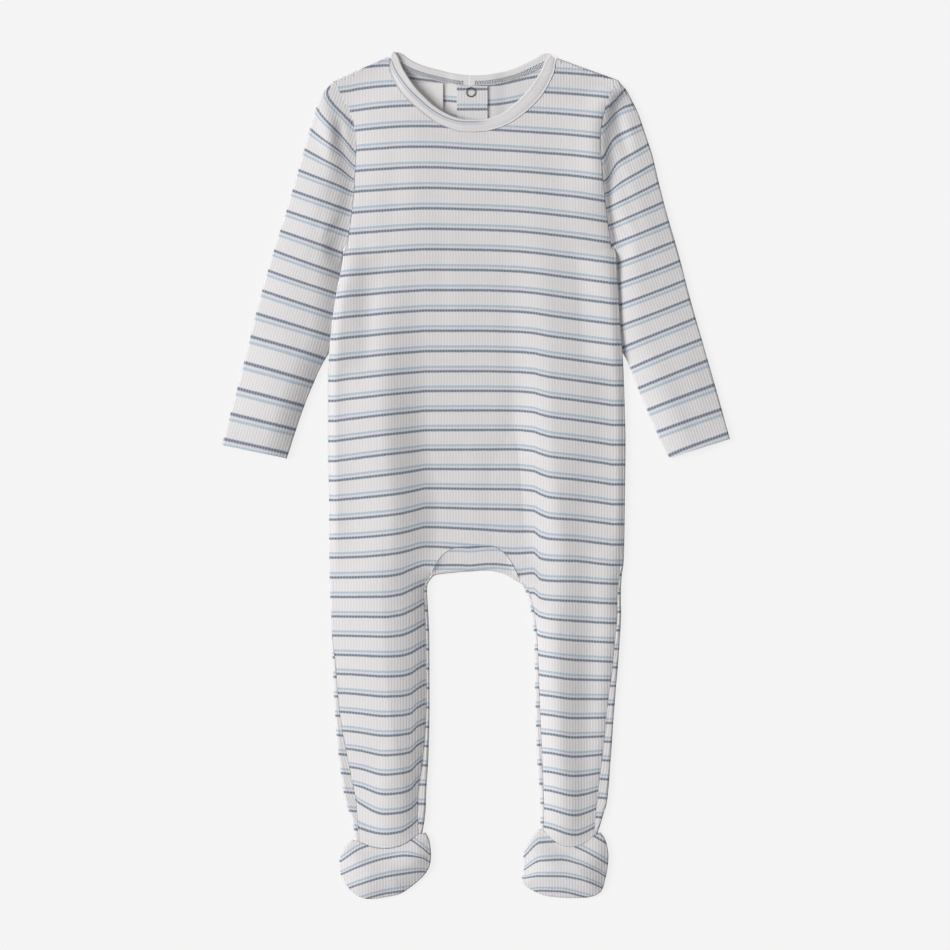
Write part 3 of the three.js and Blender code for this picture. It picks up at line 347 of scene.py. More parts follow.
# Foot stripes: stripe, then its y at each x
FOOT_STRIPE_X = {"left": [-101.5, -86.5, -69, -53, -41, -35], "right": [37, 49, 64, 78, 90, 100]}
FOOT_STRIPES = {
    "left": [
        (0, -292.5, -282.7, -277.5, -275, -282, -287.3), (1, -302.4, -295.6, -290.3, -288, -289.5, -293),
        (2, -315.3, -309.2, -303.9, -301.3, -300, -301), (3, -327.4, -322, -316.8, -314.5, -312.3, -311.5),
    ],
    "right": [
        (0, -289, -278.2, -277.5, -282.7, -288.8, -294.8), (1, -299, -291.8, -291, -294, -299, -305.4),
        (2, -305, -303.2, -303.3, -305.4, -309.6, -315.3), (3, -317, -314.5, -315, -318, -322, -328),
    ],
}


# ---------------------------------------------------------------- small maths
def mix(a, b, u):
    return a + (b - a) * u


def ease(u):
    u = np.clip(u, 0.0, 1.0)
    return u * u * (3 - 2 * u)


def fade(name, value):
    start, length = FADES[name]
    return ease((value - start) / length)


def dome(u, power=2):
    """Rises steeply from 0 and levels out at 1, as cloth does over air."""
    return 1 - (1 - np.clip(u, 0.0, 1.0)) ** power


def hump(away, reach):
    """1 at no distance, and almost 0 from twice the reach."""
    return np.exp(-(away / reach) ** 2)


def unit(vectors):
    return vectors / np.linalg.norm(vectors, axis=-1, keepdims=True)


def right_of(way):
    return np.stack([way[..., 1], -way[..., 0]], axis=-1)


def by_side(x, left, right):
    """The left half's value left of the middle, and the right half's right of it."""
    return np.where(x < 0, left, right)


def sided(x, table):
    return by_side(x, table["left"], table["right"])


def run_of(path):
    """The distance along a path to each of its points."""
    return np.concatenate([[0], np.cumsum(np.linalg.norm(np.diff(path, axis=0), axis=1))])


def look_up(at, keys, rows):
    """Rows of numbers, read between their keys."""
    return np.stack([np.interp(at, keys, column) for column in rows.T], axis=1)


def hermite(keys, values, slopes, at):
    """The smooth curve that has these values and slopes at its keys."""
    i = np.clip(np.searchsorted(keys, at, side="right") - 1, 0, len(keys) - 2)
    h = keys[i + 1] - keys[i]
    u = (at - keys[i]) / h
    if values.ndim > 1:
        h, u = h[:, None], u[:, None]
    rise, t0, t1 = values[i + 1] - values[i], slopes[i] * h, slopes[i + 1] * h
    return values[i] + u * (t0 + u * (3 * rise - 2 * t0 - t1 + u * (t0 + t1 - 2 * rise)))


def smooth_curve(keys, values):
    """A smooth curve through (keys, values) that never swings past them."""
    keys, values = np.asarray(keys, float), np.asarray(values, float)
    slope = np.diff(values) / np.diff(keys)
    tangent = np.concatenate([slope[:1], np.zeros(len(slope) - 1), slope[-1:]])
    before, after = slope[:-1], slope[1:]
    agree = before * after > 0
    tangent[1:-1][agree] = (2 * before * after)[agree] / (before + after)[agree]
    return lambda at: hermite(keys, values, tangent, np.clip(np.asarray(at, float), keys[0], keys[-1]))


def track(rows):
    """A table's columns as smooth curves of its first column."""
    columns = list(zip(*rows))
    return [smooth_curve(columns[0], column) for column in columns[1:]]


def evenly(path, count, weights=None):
    """A path resampled to count points by length, after weights stretch its axes."""
    path = np.asarray(path, float)
    run = run_of(path if weights is None else path * weights)
    return look_up(np.linspace(0, run[-1], count), run, path)


def rounded(points, count):
    """A smooth path through points, resampled to count points that lie evenly."""
    points = np.asarray(points, float)
    keys = np.concatenate([[0], np.cumsum(np.sqrt(np.linalg.norm(np.diff(points, axis=0), axis=1)))])
    at = np.linspace(0, keys[-1], 40 * len(points))
    return evenly(hermite(keys, points, np.gradient(points, keys, axis=0), at), count)


def beside(path, away):
    """A plane path moved to the right of the way that it runs, or to the left if negative."""
    return path[:, :2] + right_of(unit(np.gradient(path[:, :2], axis=0))) * away


def nearest(points, path):
    """Distance of each point to a path, and the path's nearest point."""
    best = np.full(len(points), 1e9)
    foot = np.zeros((len(points), 2))
    for a, b in zip(path[:-1], path[1:]):
        ab = b - a
        u = np.clip(((points - a) @ ab) / max(ab @ ab, 1e-12), 0, 1)
        spot = a + u[:, None] * ab
        away = np.linalg.norm(points - spot, axis=1)
        closer = away < best
        best[closer] = away[closer]
        foot[closer] = spot[closer]
    return best, foot


def distance(points, path):
    return nearest(points, path)[0]


def crease_height(creases, x, y):
    total = np.zeros_like(x)
    for at_x, at_y, lean, width, length, height in creases:
        total += height * hump(y - at_y, length) * hump(x - at_x - lean * (y - at_y), width)
    return total


def count_stripes(y, keys, lines, pitch_above):
    """The stripe, with its fraction, at y, from the lines on which some stripes run."""
    number = keys[0] - (y - lines[0]) / pitch_above
    for upper, lower, k0, k1 in zip(lines[:-1], lines[1:], keys[:-1], keys[1:]):
        inside = y <= upper
        share = (upper - y) / np.maximum(upper - lower, 0.5)
        number[inside] = (k0 + (k1 - k0) * share)[inside]
    return number


def stripe_number(x, y, level, xs, rows):
    """The stripe, with its fraction, that runs through (x, y)."""
    keys = [row[0] for row in rows]
    lines = [level(key) - smooth_curve(xs, row[1:])(x) for key, row in zip(keys, rows)]
    return count_stripes(y, keys, lines, STRIPE_PITCH)


def twice_area(outline):
    """Twice a polygon's area, negative if it runs clockwise."""
    x, y = outline.T
    return np.sum(x * np.roll(y, -1) - np.roll(x, -1) * y)


# ---------------------------------------------------------------- shells
def inside_mask(outline, xs, ys, keep_off):
    """Which points of a grid lie inside an outline and clear of it."""
    ring = np.vstack([outline, outline[:1]])
    masks = []
    for axis, own, other in ((0, xs, ys), (1, ys, xs)):
        a, b = ring[:-1], ring[1:]
        ok = np.zeros((len(own), len(other)), bool)
        for i, value in enumerate(own):
            cut = (a[:, axis] <= value) != (b[:, axis] <= value)
            u = (value - a[cut, axis]) / (b[cut, axis] - a[cut, axis])
            crossings = np.sort(mix(a[cut, 1 - axis], b[cut, 1 - axis], u))
            if len(crossings):
                gap = np.abs(other[:, None] - crossings[None, :]).min(axis=1)
                ok[i] = (np.searchsorted(crossings, other) % 2 == 1) & (gap >= keep_off[1 - axis])
        masks.append(ok)
    return masks[0] & masks[1].T


def inset_ring(outline, inset):
    """Points a little inside an outline."""
    along = unit(np.roll(outline, -1, axis=0) - np.roll(outline, 1, axis=0))
    ring = outline - right_of(along) * inset
    return ring[distance(ring, np.vstack([outline, outline[:1]])) > 0.9 * inset]


def fill(outline, step_x, step_y, insets=()):
    """Points inside an outline on a grid that follows the ribs, the triangles that join them to it,
    and where the outline's own points are among them."""
    steps = np.array([step_x, step_y])
    scale = 1 / steps
    low, high = outline.min(axis=0), outline.max(axis=0)
    xs, ys = (
        np.arange(math.floor(a / step), math.ceil(b / step) + 1) * step
        for a, b, step in zip(low, high, steps)
    )
    mask = inside_mask(outline, xs, ys, 0.35 * steps)
    grid = np.stack([a[mask] for a in np.meshgrid(xs, ys, indexing="ij")], axis=1)
    points = np.vstack([outline, grid] + [inset_ring(outline, inset) for inset in insets])
    spots, _, triangles, origins, _, inside = delaunay_2d_cdt(
        [Vector(p) for p in points * scale], [], [list(range(len(outline)))], 1, 1e-4, True
    )
    spots = np.array([tuple(v) for v in spots]) / scale
    faces = np.array([face for face, whole in zip(triangles, inside) if whole])
    home = {old: new for new, olds in enumerate(origins) for old in olds}
    a, b, c = (spots[faces[:, i]] for i in range(3))
    clockwise = np.sum((b - a) * right_of(c - a), axis=1) < 0
    faces[clockwise] = faces[clockwise][:, ::-1]
    return spots, faces, [home[i] for i in range(len(outline))]


def close_outline(*paths, row=ROW):
    """One closed outline from paths laid end to end, fine across the ribs and coarser along them."""
    ring = np.vstack([np.asarray(path, float)[:, :2] for path in paths])
    ring = ring[np.linalg.norm(ring - np.roll(ring, 1, axis=0), axis=1) > 0.02]
    into = unit(ring - np.roll(ring, 1, axis=0))
    corners = np.flatnonzero(np.sum(into * np.roll(into, -1, axis=0), axis=1) < 0.9)
    ring = np.roll(ring, -corners[0], axis=0)
    corners = [*(corners - corners[0]), len(ring)]
    ring = np.vstack([ring, ring[:1]])
    weights = np.array([RIB_COLUMNS / RIB_PITCH, 1 / row])
    pieces = []
    for start, end in zip(corners[:-1], corners[1:]):
        path = ring[start:end + 1]
        count = max(2, int(round(run_of(path * weights)[-1])) + 1)
        pieces.append(evenly(path, count, weights)[:-1])
    outline = np.vstack(pieces)
    return outline if twice_area(outline) > 0 else outline[::-1].copy()


def rectangle(box):
    left, right, bottom, top = (box[key] for key in ("left", "right", "bottom", "top"))
    return close_outline([(left, bottom), (right, bottom), (right, top), (left, top)])


def normals_of(place, flat, step=0.04):
    dx, dy = (place(flat + way) - place(flat - way) for way in np.eye(2) * step)
    return unit(np.cross(dx, dy))


def rib(u):
    """Height of the ribs across the cloth: wide ridges, narrow valleys."""
    wave = 0.5 + 0.5 * np.cos(2 * math.pi * u / RIB_PITCH)
    return RIB_DEPTH * (ease(wave * RIB_WIDTH) - RIB_MIDDLE)


def add(name, data):
    obj = bpy.data.objects.new(name, data)
    bpy.context.scene.collection.objects.link(obj)
    return obj


def build_mesh(name, points, faces, layers, material):
    """A mesh object in metres, in the part's frame, with float layers on its points."""
    mesh = bpy.data.meshes.new(name)
    mesh.from_pydata([tuple(p) for p in (points + SHIFT) * MM], [], faces)
    for layer, values in layers.items():
        mesh.attributes.new(layer, "FLOAT", "POINT").data.foreach_set("value", np.asarray(values, np.float32))
    mesh.polygons.foreach_set("use_smooth", [True] * len(mesh.polygons))
    mesh.set_sharp_from_angle(angle=math.radians(50))
    mesh.materials.append(material)
    return add(name, mesh)


def shell(name, outline, place, knit, material, outer=1, thickness=SHELL, ribbed=True, row=ROW):
    """A closed shell of cloth, whose outer face looks up on the pattern where outer is 1, down where -1."""
    column = RIB_PITCH / RIB_COLUMNS
    fine, fine_faces, fine_rim = fill(outline, column, row, RIM_RINGS)
    plain, plain_faces, plain_rim = fill(outline, 2 * column, 2 * row)
    fine_knit, plain_knit = knit(fine), knit(plain)
    relief = rib(fine_knit[0]) if ribbed else np.zeros(len(fine))
    outside = place(fine) + normals_of(place, fine) * (outer * (thickness / 2 + relief))[:, None]
    inside = place(plain) - normals_of(place, plain) * (outer * thickness / 2)
    count = len(fine)
    faces = fine_faces[:, ::outer].tolist() + (plain_faces[:, ::-outer] + count).tolist()
    for i in range(len(outline)):
        j = (i + 1) % len(outline)
        a, b, c, d = fine_rim[i], count + plain_rim[i], count + plain_rim[j], fine_rim[j]
        faces.append([a, b, c, d] if outer > 0 else [a, d, c, b])
    layers = dict(zip(("knit_u", "knit_v"), np.concatenate([fine_knit, plain_knit], axis=1)))
    return build_mesh(name, np.vstack([outside, inside]), faces, layers, material)


# ---------------------------------------------------------------- the two halves' shared form
def round_fold(past):
    """How far out and how far up or down cloth goes round a fold, where it lies past the fold's start."""
    angle = np.clip(past / FOLD, 0, math.pi)
    return FOLD * np.sin(angle) - np.clip(past - HALF_TURN, 0, None), FOLD * (1 - np.cos(angle))


class Side:
    """One half of the garment: its edges, and where the back wraps round them."""

    def __init__(self, name):
        self.name, self.sign = name, (-1 if name == "left" else 1)
        rows = [(*row, *WRAPS[name].get(row[0], (WRAP, WRAP))) for row in HALF[name]]
        self.xi, self.yi, self.xo, self.yo, self.wo, self.wi = track(rows)
        ends = np.array([(self.xi(0), self.yi(0)), (self.xo(0), self.yo(0))])
        self.shoulder_out = -self.sign * right_of(unit(ends[1] - ends[0]))
        self.shoulder = ends - EDGE * self.shoulder_out
        t = np.linspace(ANKLE, SIDE_START, 240)
        self.side_y, self.side_x, self.side_wrap = self.yo(t), self.xo(t), self.wo(t)
        t = np.linspace(ANKLE, CROTCH_CORNER, 160)
        self.leg_y, self.leg_x, self.leg_wrap = self.yi(t), self.xi(t), self.wi(t)

    def _pulled_in(self, x, y, t):
        t = np.atleast_1d(np.asarray(t, float))
        return np.stack([x(t), y(t)], axis=1) - np.clip(1 - t, 0, 1)[:, None] * EDGE * self.shoulder_out

    def inner(self, t):
        return self._pulled_in(self.xi, self.yi, t)

    def outer(self, t):
        return self._pulled_in(self.xo, self.yo, t)

    def armhole(self, count):
        return self.outer(np.linspace(0, UNDERARM, count))

    def cut_edge(self, t, arc=QUARTER_ARC):
        """The front's cut edge from shoulder to ankle, or, with no arc, where its side fold starts."""
        p = self.outer(t)
        p[:, 0] += self.sign * self.reach(p[:, 1], arc)
        return p

    def ankle(self, c, sag=True):
        """The ankle seam: c is 0 at its inner end, 1 at its outer one."""
        p = mix(self.inner(ANKLE), self.outer(ANKLE), c[:, None])
        p[:, 1] -= sag * ANKLE_SAG[self.name] * 4 * c * (1 - c)
        return p

    def fold(self, y, outer):
        """Where the back's fold begins at y, and how much cloth it has beyond, up to its cut edge."""
        if outer:
            ys, xs, wraps, way = self.side_y, self.side_x, self.side_wrap, self.sign
        else:
            ys, xs, wraps, way = self.leg_y, self.leg_x, self.leg_wrap, -self.sign
        wrap = np.interp(y, ys, wraps)
        beyond = HALF_TURN + wrap - EDGE - SEAM
        return np.interp(y, ys, xs) + way * (wrap - EDGE), beyond - (self.reach(y) if outer else 0)

    def reach(self, y, arc=QUARTER_ARC):
        """How far the front goes past its own edge, down round the side fold."""
        share = ease((self.side_y[-1] - y) / UNDERARM_FADE) * ease((y - SIDE_STRIP[self.name]) / STRIP_FADE)
        return share * (np.interp(y, self.side_y, self.side_wrap) - EDGE + arc)

    def roll(self, p):
        """Cloth past the start of the side fold goes down round it."""
        past = np.clip((p[:, 0] - self.fold(p[:, 1], True)[0]) * self.sign, 0, None)
        past[p[:, 1] > self.side_y[-1]] = 0
        out, down = round_fold(past)
        return p - np.outer(past - out, (self.sign, 0)), -down

    def past_shoulder(self, p):
        past = np.clip((p - self.shoulder[0]) @ self.shoulder_out, 0, None)
        return np.where(p[:, 0] * self.sign < SHOULDER_FROM, 0, past)[:, None]

    def roll_shoulder(self, p, up):
        """Cloth past the shoulder line goes round its fold: down from the front, up from the back."""
        past = self.past_shoulder(p)
        out, turned = round_fold(past)
        return p - (past - out) * self.shoulder_out, up * turned[:, 0]

    def tuck_lift(self, x, y):
        """How far the body's side is lifted by the sleeve that lies under it."""
        edge = np.interp(y, self.side_y, self.side_x + self.sign * self.side_wrap)
        return TUCK_LIFT * fade("tuck_top", y) * fade("tuck_end", y) * fade("tuck_in", (edge - x) * self.sign)

    def armhole_ridge(self, p, reach):
        """How far the sewn seam of the armhole stands up."""
        y = p[:, 1]
        share = fade("armhole_top", y) * fade("armhole_end", y) * mix(0.5, 1, fade("armhole_full", y))
        return ARMHOLE_RIDGE[self.name] * share * hump(distance(p, self.armhole(60)), reach)


SIDES = {name: Side(name) for name in ("left", "right")}


def placket_raise(x, y):
    """How far the back rises over the snaps' caps."""
    return PLACKET["raised"] * fade("caps_left", x) * fade("caps_right", x) * fade("caps_end", y)


# ---------------------------------------------------------------- front
RISE_PATHS = [
    [path(side) for side in SIDES.values()]
    for path in (
        lambda side: side.cut_edge(np.linspace(0, ANKLE, 120), 0),
        lambda side: side.inner(np.linspace(CROTCH_CORNER - 0.3, ANKLE, 40)),
        lambda side: side.ankle(np.linspace(0, 1, 16)),
        lambda side: side.shoulder,
    )
]


def trough(x, y):
    """Share of the body's height that is lost to the broad dip between its two slack sides."""
    left, right, depth = (curve(y) for curve in track(TROUGH))
    wide, narrow = TROUGH_SLOPES
    return depth * ease((x - left + wide) / (2 * wide)) * (1 - ease((x - right + narrow) / (2 * narrow)))


def front_height(p):
    """Height of the front's middle surface over a point of the plan."""
    x, y = p.T
    outer, leg, ankle, shoulder = (by_side(x, *(distance(p, path) for path in pair)) for pair in RISE_PATHS)
    slack = fade("slack", y)
    belly = ease((outer - 2) / sided(x, BELLY_RISE))
    belly = mix(belly, dome(outer / BELLY_EDGE["reach"]), BELLY_EDGE["share"])
    body = mix(belly, dome(outer / sided(x, CHEST_RISE)), fade("chest", y))
    legs = by_side(x, dome(outer / LEG_RISE["left"], 1.3), dome(outer / LEG_RISE["right"]))
    right_in = mix(CROTCH_RISE, INNER_LEG_RISE["right"], fade("right_leg", y))
    inner = mix(1, dome(leg / by_side(x, INNER_LEG_RISE["left"], right_in)), fade("legs", y))
    soft = mix(body, legs, slack) * inner * ease(shoulder / SHOULDER_RISE)
    soft *= dome(mix(ANKLE_LOW, 1, ankle / ANKLE_RISE))
    crown = mix(BELLY_CROWN["left"], BELLY_CROWN["right"], fade("middle", x))
    crown = mix(mix(crown, CHEST_CROWN, fade("crown", y)), sided(x, LEG_CROWN), slack)
    crown = crown * (1 - TROUGH_SHARE * trough(x, y))
    folds = crease_height(BODY_CREASES, x, y)
    folds *= mix(fade("beside_placket", np.abs(x)), 1, fade("below_placket", y))
    lift = by_side(x, *(side.tuck_lift(x, y) for side in SIDES.values()))
    ridge = by_side(x, *(side.armhole_ridge(p, RIDGE_REACH[name]) for name, side in SIDES.items()))
    return FRONT_Z + np.maximum(soft * (crown + folds), 0) + lift + ridge


def place_front(p):
    drop = np.zeros(len(p))
    plan = p
    for side in SIDES.values():
        for roll in (lambda q: side.roll_shoulder(q, -1), side.roll):
            plan, sunk = roll(plan)
            drop += sunk
    held = plan.copy()
    for side in SIDES.values():
        start = np.interp(held[:, 1], side.side_y, side.side_x) + side.sign * side.reach(held[:, 1], 0)
        over = np.clip((held[:, 0] - start) * side.sign, 0, None)
        held[:, 0] -= side.sign * np.where(held[:, 1] < side.side_y[-1], over, 0)
        held = held - side.past_shoulder(held) * side.shoulder_out
    return np.column_stack([plan, front_height(held) + drop])


def front_outline():
    halves = {}
    for name, side in SIDES.items():
        halves[name] = [
            side.inner(np.linspace(9, 0, 60)), side.shoulder + QUARTER_ARC * side.shoulder_out,
            side.cut_edge(np.linspace(0, ANKLE, 300)), side.ankle(np.linspace(1, 0, 40)),
            side.inner(np.linspace(ANKLE, GUSSET_TOP, 120)),
        ]
    return close_outline(*halves["right"], *(path[::-1] for path in halves["left"][::-1]))


LEVEL = track(STRIPE_LEVEL)[0]


def knit_front(p):
    return p[:, 0], -STRIPE_PITCH * stripe_number(*p.T, LEVEL, DROOP_X, DROOP)


# ---------------------------------------------------------------- back
def place_back(side):
    def place(p):
        plan, z = side.roll_shoulder(p, 1)
        x, y = plan[:, 0].copy(), plan[:, 1]
        held = x.copy()
        for outer, way, top in ((True, side.sign, side.side_y[-1]), (False, -side.sign, side.leg_y[-1])):
            start, _ = side.fold(y, outer)
            past = np.where(y < top + 0.1, np.clip((plan[:, 0] - start) * way, 0, None), 0)
            out, up = round_fold(past)
            x, held = np.where(past > 0, start + way * out, x), np.where(past > 0, start, held)
            z = z + up
        return np.column_stack([x, y, BACK_Z + z + placket_raise(held, y) + side.tuck_lift(held, y)])

    return place


def back_outline(side):
    xs, ys, _, _ = track(BACK_NECK[side.name])
    t = np.linspace(2, 8, 60)
    neck = np.column_stack([xs(t), ys(t)])
    y = np.linspace(neck[-1, 1] - 1, side.yi(GUSSET_TOP), 200)
    centre = np.column_stack([mix(side.sign * (SEAM + 0.1) / 2, LAP[side.name], fade("lap", y)), y])
    edges = {}
    for outer, way, y in ((True, side.sign, side.side_y[::-1]), (False, -side.sign, side.leg_y[::-1])):
        start, beyond = side.fold(y, outer)
        edges[outer] = np.column_stack([start, y]), np.column_stack([start + way * beyond, y])
    (side_fold, side_cut), (leg_fold, leg_cut) = edges[True], edges[False]
    return close_outline(
        side.shoulder[:1], neck, centre, side.inner(np.linspace(GUSSET_TOP, CROTCH_CORNER, 30)),
        leg_fold[:1], leg_cut, leg_fold[-1:], side_fold[-1:], side_cut[::-1], side_fold[:1],
        side.armhole(80)[::-1], side.shoulder[::-1] + QUARTER_ARC * side.shoulder_out,
    )


def knit_back(p):
    x, y = p.T
    tucked = hump(y - UNDERARM_TUCK["y"], UNDERARM_TUCK["reach"]) * ease((np.abs(x) - UNDERARM_TUCK["x"]) / 3)
    number = stripe_number(x, y, LEVEL, BACK_DROOP_X, BACK_DROOP) + UNDERARM_TUCK["shift"] * tucked
    return x, -STRIPE_PITCH * number


# ---------------------------------------------------------------- sleeves
class Sleeve:
    """A tube laid flat. Its pattern's x runs across the ribs: top layer, round the outer fold, lower
    layer; and from the top layer round the inner fold to the underarm seam. Its y runs to the cuff."""

    def __init__(self, side):
        self.side, self.name = side, side.name
        xo, yo, xi, yi = track(SLEEVE[side.name])
        r = np.linspace(0, SLEEVE_RINGS, SLEEVE_RINGS * PER_RING + 1)
        outer_edge, inner_edge = (np.column_stack([x(r), y(r)]) for x, y in ((xo, yo), (xi, yi)))
        middle = outer_edge + inner_edge
        self.down = unit(middle[-1] - middle[AXIS_RING * PER_RING])
        self.out = -side.sign * right_of(self.down)
        self.origin = outer_edge[0]
        armhole = beside(side.armhole(80), -side.sign * SEAM_CURVED)
        inner_top = mix(FRONT_Z, BACK_Z + 2 * TUCK_RADIUS, fade("ring_tucked", r) * fade("ring_free", r))
        radius = (inner_top - BACK_Z) / 2
        own_out = self.to_pattern(outer_edge) - (EDGE, 0)
        own_in = self.to_pattern(inner_edge) + np.column_stack([CLOTH / 2 + radius, 0 * r])
        ends = self.to_pattern(armhole[[0, -1]])
        keep_out, keep_in = own_out[:, 1] > ends[0, 1] + 6, own_in[:, 1] > ends[1, 1] + 3
        self.fold_out = np.vstack([ends[:1], own_out[keep_out]])
        self.fold_in = np.vstack([ends[1:], own_in[keep_in]])
        self.inner_radius = np.concatenate([[FOLD], radius[keep_in]])
        self.arm = self.to_pattern(armhole)
        self.cuff = np.array([
            (np.interp(own[-1, 1], *fold.T[::-1]), own[-1, 1])
            for own, fold in ((own_out, self.fold_out), (own_in, self.fold_in))
        ])
        self.edge_x, self.edge_y = outer_edge[::-1].T
        seam = np.vstack([armhole, inner_edge[inner_edge[:, 1] < armhole[-1, 1] - 1]])
        self.seam_x, self.seam_y = seam[np.argsort(seam[:, 1])].T

    def to_pattern(self, p):
        away = p - self.origin
        return np.column_stack([away @ self.out, away @ self.down])

    def plan(self, a, b):
        return self.origin + a[:, None] * self.out + b[:, None] * self.down

    def folds_at(self, b):
        """Where the outer and the inner fold lie at b, and the inner one's radius."""
        out, inner = (np.interp(b, *fold.T[::-1]) for fold in (self.fold_out, self.fold_in))
        return out, inner, np.interp(b, self.fold_in[:, 1], self.inner_radius)

    def height(self, a, b):
        out, inner, radius = self.folds_at(b)
        p, plan = np.column_stack([a, b]), self.plan(a, b)
        rise_out, rise_in = SLEEVE_RISE[self.name]
        soft = dome((out - a) / rise_out) * dome(distance(p, self.fold_in) / rise_in)
        soft *= ease(distance(p, self.arm) / ARMHOLE_RISE)
        soft *= mix(CUFF_LOW, 1, ease(distance(p, self.cuff) / CUFF_RISE))
        crown = SLEEVE_CROWN[self.name] + crease_height(SLEEVE_CREASES[self.name], *plan.T)
        ridge = self.side.armhole_ridge(plan, mix(*SLEEVE_RIDGE_REACH, fade("armhole_steep", plan[:, 1])))
        level = mix(FRONT_Z, BACK_Z + 2 * radius, np.clip((out - a) / (out - inner), 0, 1))
        return level + soft * crown + ridge

    def place(self, p):
        u, b = p.T
        out, inner, radius = self.folds_at(b)
        past, before = np.clip(u - out, 0, None), np.clip(inner - u, 0, None)
        (across, down), turn = round_fold(past), before / radius
        a = np.where(past > 0, out + across, u)
        a = np.where(before > 0, inner - radius * np.sin(turn), a)
        z = self.height(np.clip(a, inner, out), b)
        z = np.where(past > 0, FRONT_Z - down, z)
        z = np.where(before > 0, BACK_Z + radius * (1 + np.cos(turn)), z)
        return np.column_stack([self.plan(a, b), z])

    def lower(self, p):
        """Where a point of the lower layer lies on the pattern."""
        return np.column_stack([2 * self.folds_at(p[:, 1])[0] + HALF_TURN - p[:, 0], p[:, 1]])

    def outline(self):
        b = np.linspace(self.fold_in[0, 1], self.cuff[1, 1], 120)
        _, fold, radius = self.folds_at(b)
        inner = np.column_stack([fold, b])
        turn = np.column_stack([math.pi * radius - SEAM / 2, 0 * b])
        cuff = evenly(self.cuff, 30)
        return close_outline(
            self.arm[::-1], self.arm[:1] + (HALF_TURN / 2, -SLEEVE_TIP), self.lower(self.arm),
            self.lower(inner) - (SEAM / 2, 0), self.lower(cuff[::-1])[1:], cuff, (inner - turn)[::-1],
        )

    def knit(self, p):
        plan = self.place(p)[:, :2]
        x, y = plan.T
        bend = hump(distance(plan, self.side.armhole(60)), BEND_REACH) * fade("bend", y)
        y = y + SLEEVE_BEND[self.name] * bend
        edge, seam = np.interp(y, self.edge_y, self.edge_x), np.interp(y, self.seam_y, self.seam_x)
        across = np.clip((edge - x) / (edge - seam), 0, 1)
        keys, outer, inner = np.array(SLEEVE_STRIPES[self.name], float).T
        lines = [mix(*ends, across) for ends in zip(outer, inner)]
        return p[:, 0], STRIPE_PITCH * count_stripes(y, keys, lines, 3 * STRIPE_PITCH)


# ---------------------------------------------------------------- gusset
class Gusset:
    """A half oval under the front's arch, folded under between the legs. Its pattern is the plan of its
    upper layer, carried on below the fold."""

    def __init__(self):
        t = np.linspace(CROTCH_CORNER, GUSSET_TOP, 60)
        arch = beside(np.vstack([SIDES["left"].inner(t), SIDES["right"].inner(t[::-1])[1:]]), SEAM_CURVED)
        edge = rounded(CROTCH, 80)
        self.arch = arch[(arch[:, 0] > edge[0, 0] + 0.2) & (arch[:, 0] < edge[-1, 0] - 0.2)]
        self.key, self.arch_y = self.arch.T
        self.fold_y = np.interp(self.key, *edge.T) + EDGE
        self.arch_z = front_height(self.arch)

    def place(self, p):
        x, y = p.T
        arch, fold, arch_z = (np.interp(x, self.key, row) for row in (self.arch_y, self.fold_y, self.arch_z))
        past = np.clip(fold - y, 0, None)
        out, down = round_fold(past)
        top = mix(arch_z, FRONT_Z, ease((arch - y) / np.maximum(arch - fold, 0.5)))
        plan_y, z = np.where(past > 0, (fold - out, FRONT_Z - down), (y, top))
        return np.column_stack([x, plan_y, z])

    def outline(self):
        lower = 2 * self.fold_y - HALF_TURN - self.arch_y
        return close_outline(self.arch[::-1], np.column_stack([self.key, lower]), row=FINE_ROW)

    def knit(self, p):
        x, y = p.T
        wave = GUSSET["wave"] * np.sin(x / GUSSET["wave_reach"]) * fade("gusset_wave", x)
        return x, GUSSET["stretch"] * (GUSSET["stripe"] - y + wave)


# ---------------------------------------------------------------- feet
class Foot:
    """One layer of a foot, from the ankle seam to the outline, with a quarter fold round its edge."""

    def __init__(self, side, upper):
        self.name, self.upper = side.name, upper
        toe = rounded(FOOT[side.name], 160)[::-side.sign]
        ankle = side.ankle(np.linspace(1, 0, 40), sag=upper)
        first, last = (side.sign * (wrap(ANKLE) - CLOTH / 2) for wrap in (side.wo, side.wi))
        ankle = np.vstack([ankle[0] + (first, 0), ankle, ankle[-1] - (last, 0)])
        self.ankle = ankle - (0, SEAM_CURVED + 0.1)
        self.fold, self.cut = (beside(toe, side.sign * away) for away in (EDGE, EDGE - QUARTER_ARC))

    def outline(self):
        return close_outline(self.ankle, self.cut[::-1], row=FINE_ROW)

    def place(self, p):
        away, foot = nearest(p, self.fold)
        inside = self.within(p)
        past = np.where(inside, 0, away)
        angle = np.clip(past / FOLD, 0, math.pi / 2)
        way = (p - foot) / np.maximum(away, 1e-6)[:, None]
        plan = np.where((past > 0)[:, None], foot + way * (FOLD * np.sin(angle))[:, None], p)
        turned = FOLD * (1 - np.cos(angle))
        if not self.upper:
            return np.column_stack([plan, BACK_Z + turned])
        puff = dome(np.where(inside, away, 0) / FOOT_RISE)
        puff *= mix(FOOT_LOW, 1, ease(distance(p, self.ankle) / FOOT_ANKLE_RISE))
        return np.column_stack([plan, FRONT_Z + FOOT_CROWN * puff - turned])

    def within(self, p):
        """Which points lie on this side of the fold."""
        x, y = p.T
        ring = np.vstack([self.fold, self.ankle[::-1] + (0, 4), self.fold[:1]])
        odd = np.zeros(len(p), bool)
        for a, b in zip(ring[:-1], ring[1:]):
            cut = (a[1] <= y) != (b[1] <= y)
            if cut.any():
                odd ^= cut & (x < a[0] + (y - a[1]) * (b[0] - a[0]) / (b[1] - a[1]))
        return odd

    def knit(self, p):
        x, y = p.T
        rows = FOOT_STRIPES[self.name]
        lines = [smooth_curve(FOOT_STRIPE_X[self.name], row[1:])(x) for row in rows]
        return x, -STRIPE_PITCH * count_stripes(y, [row[0] for row in rows], lines, STRIPE_PITCH)


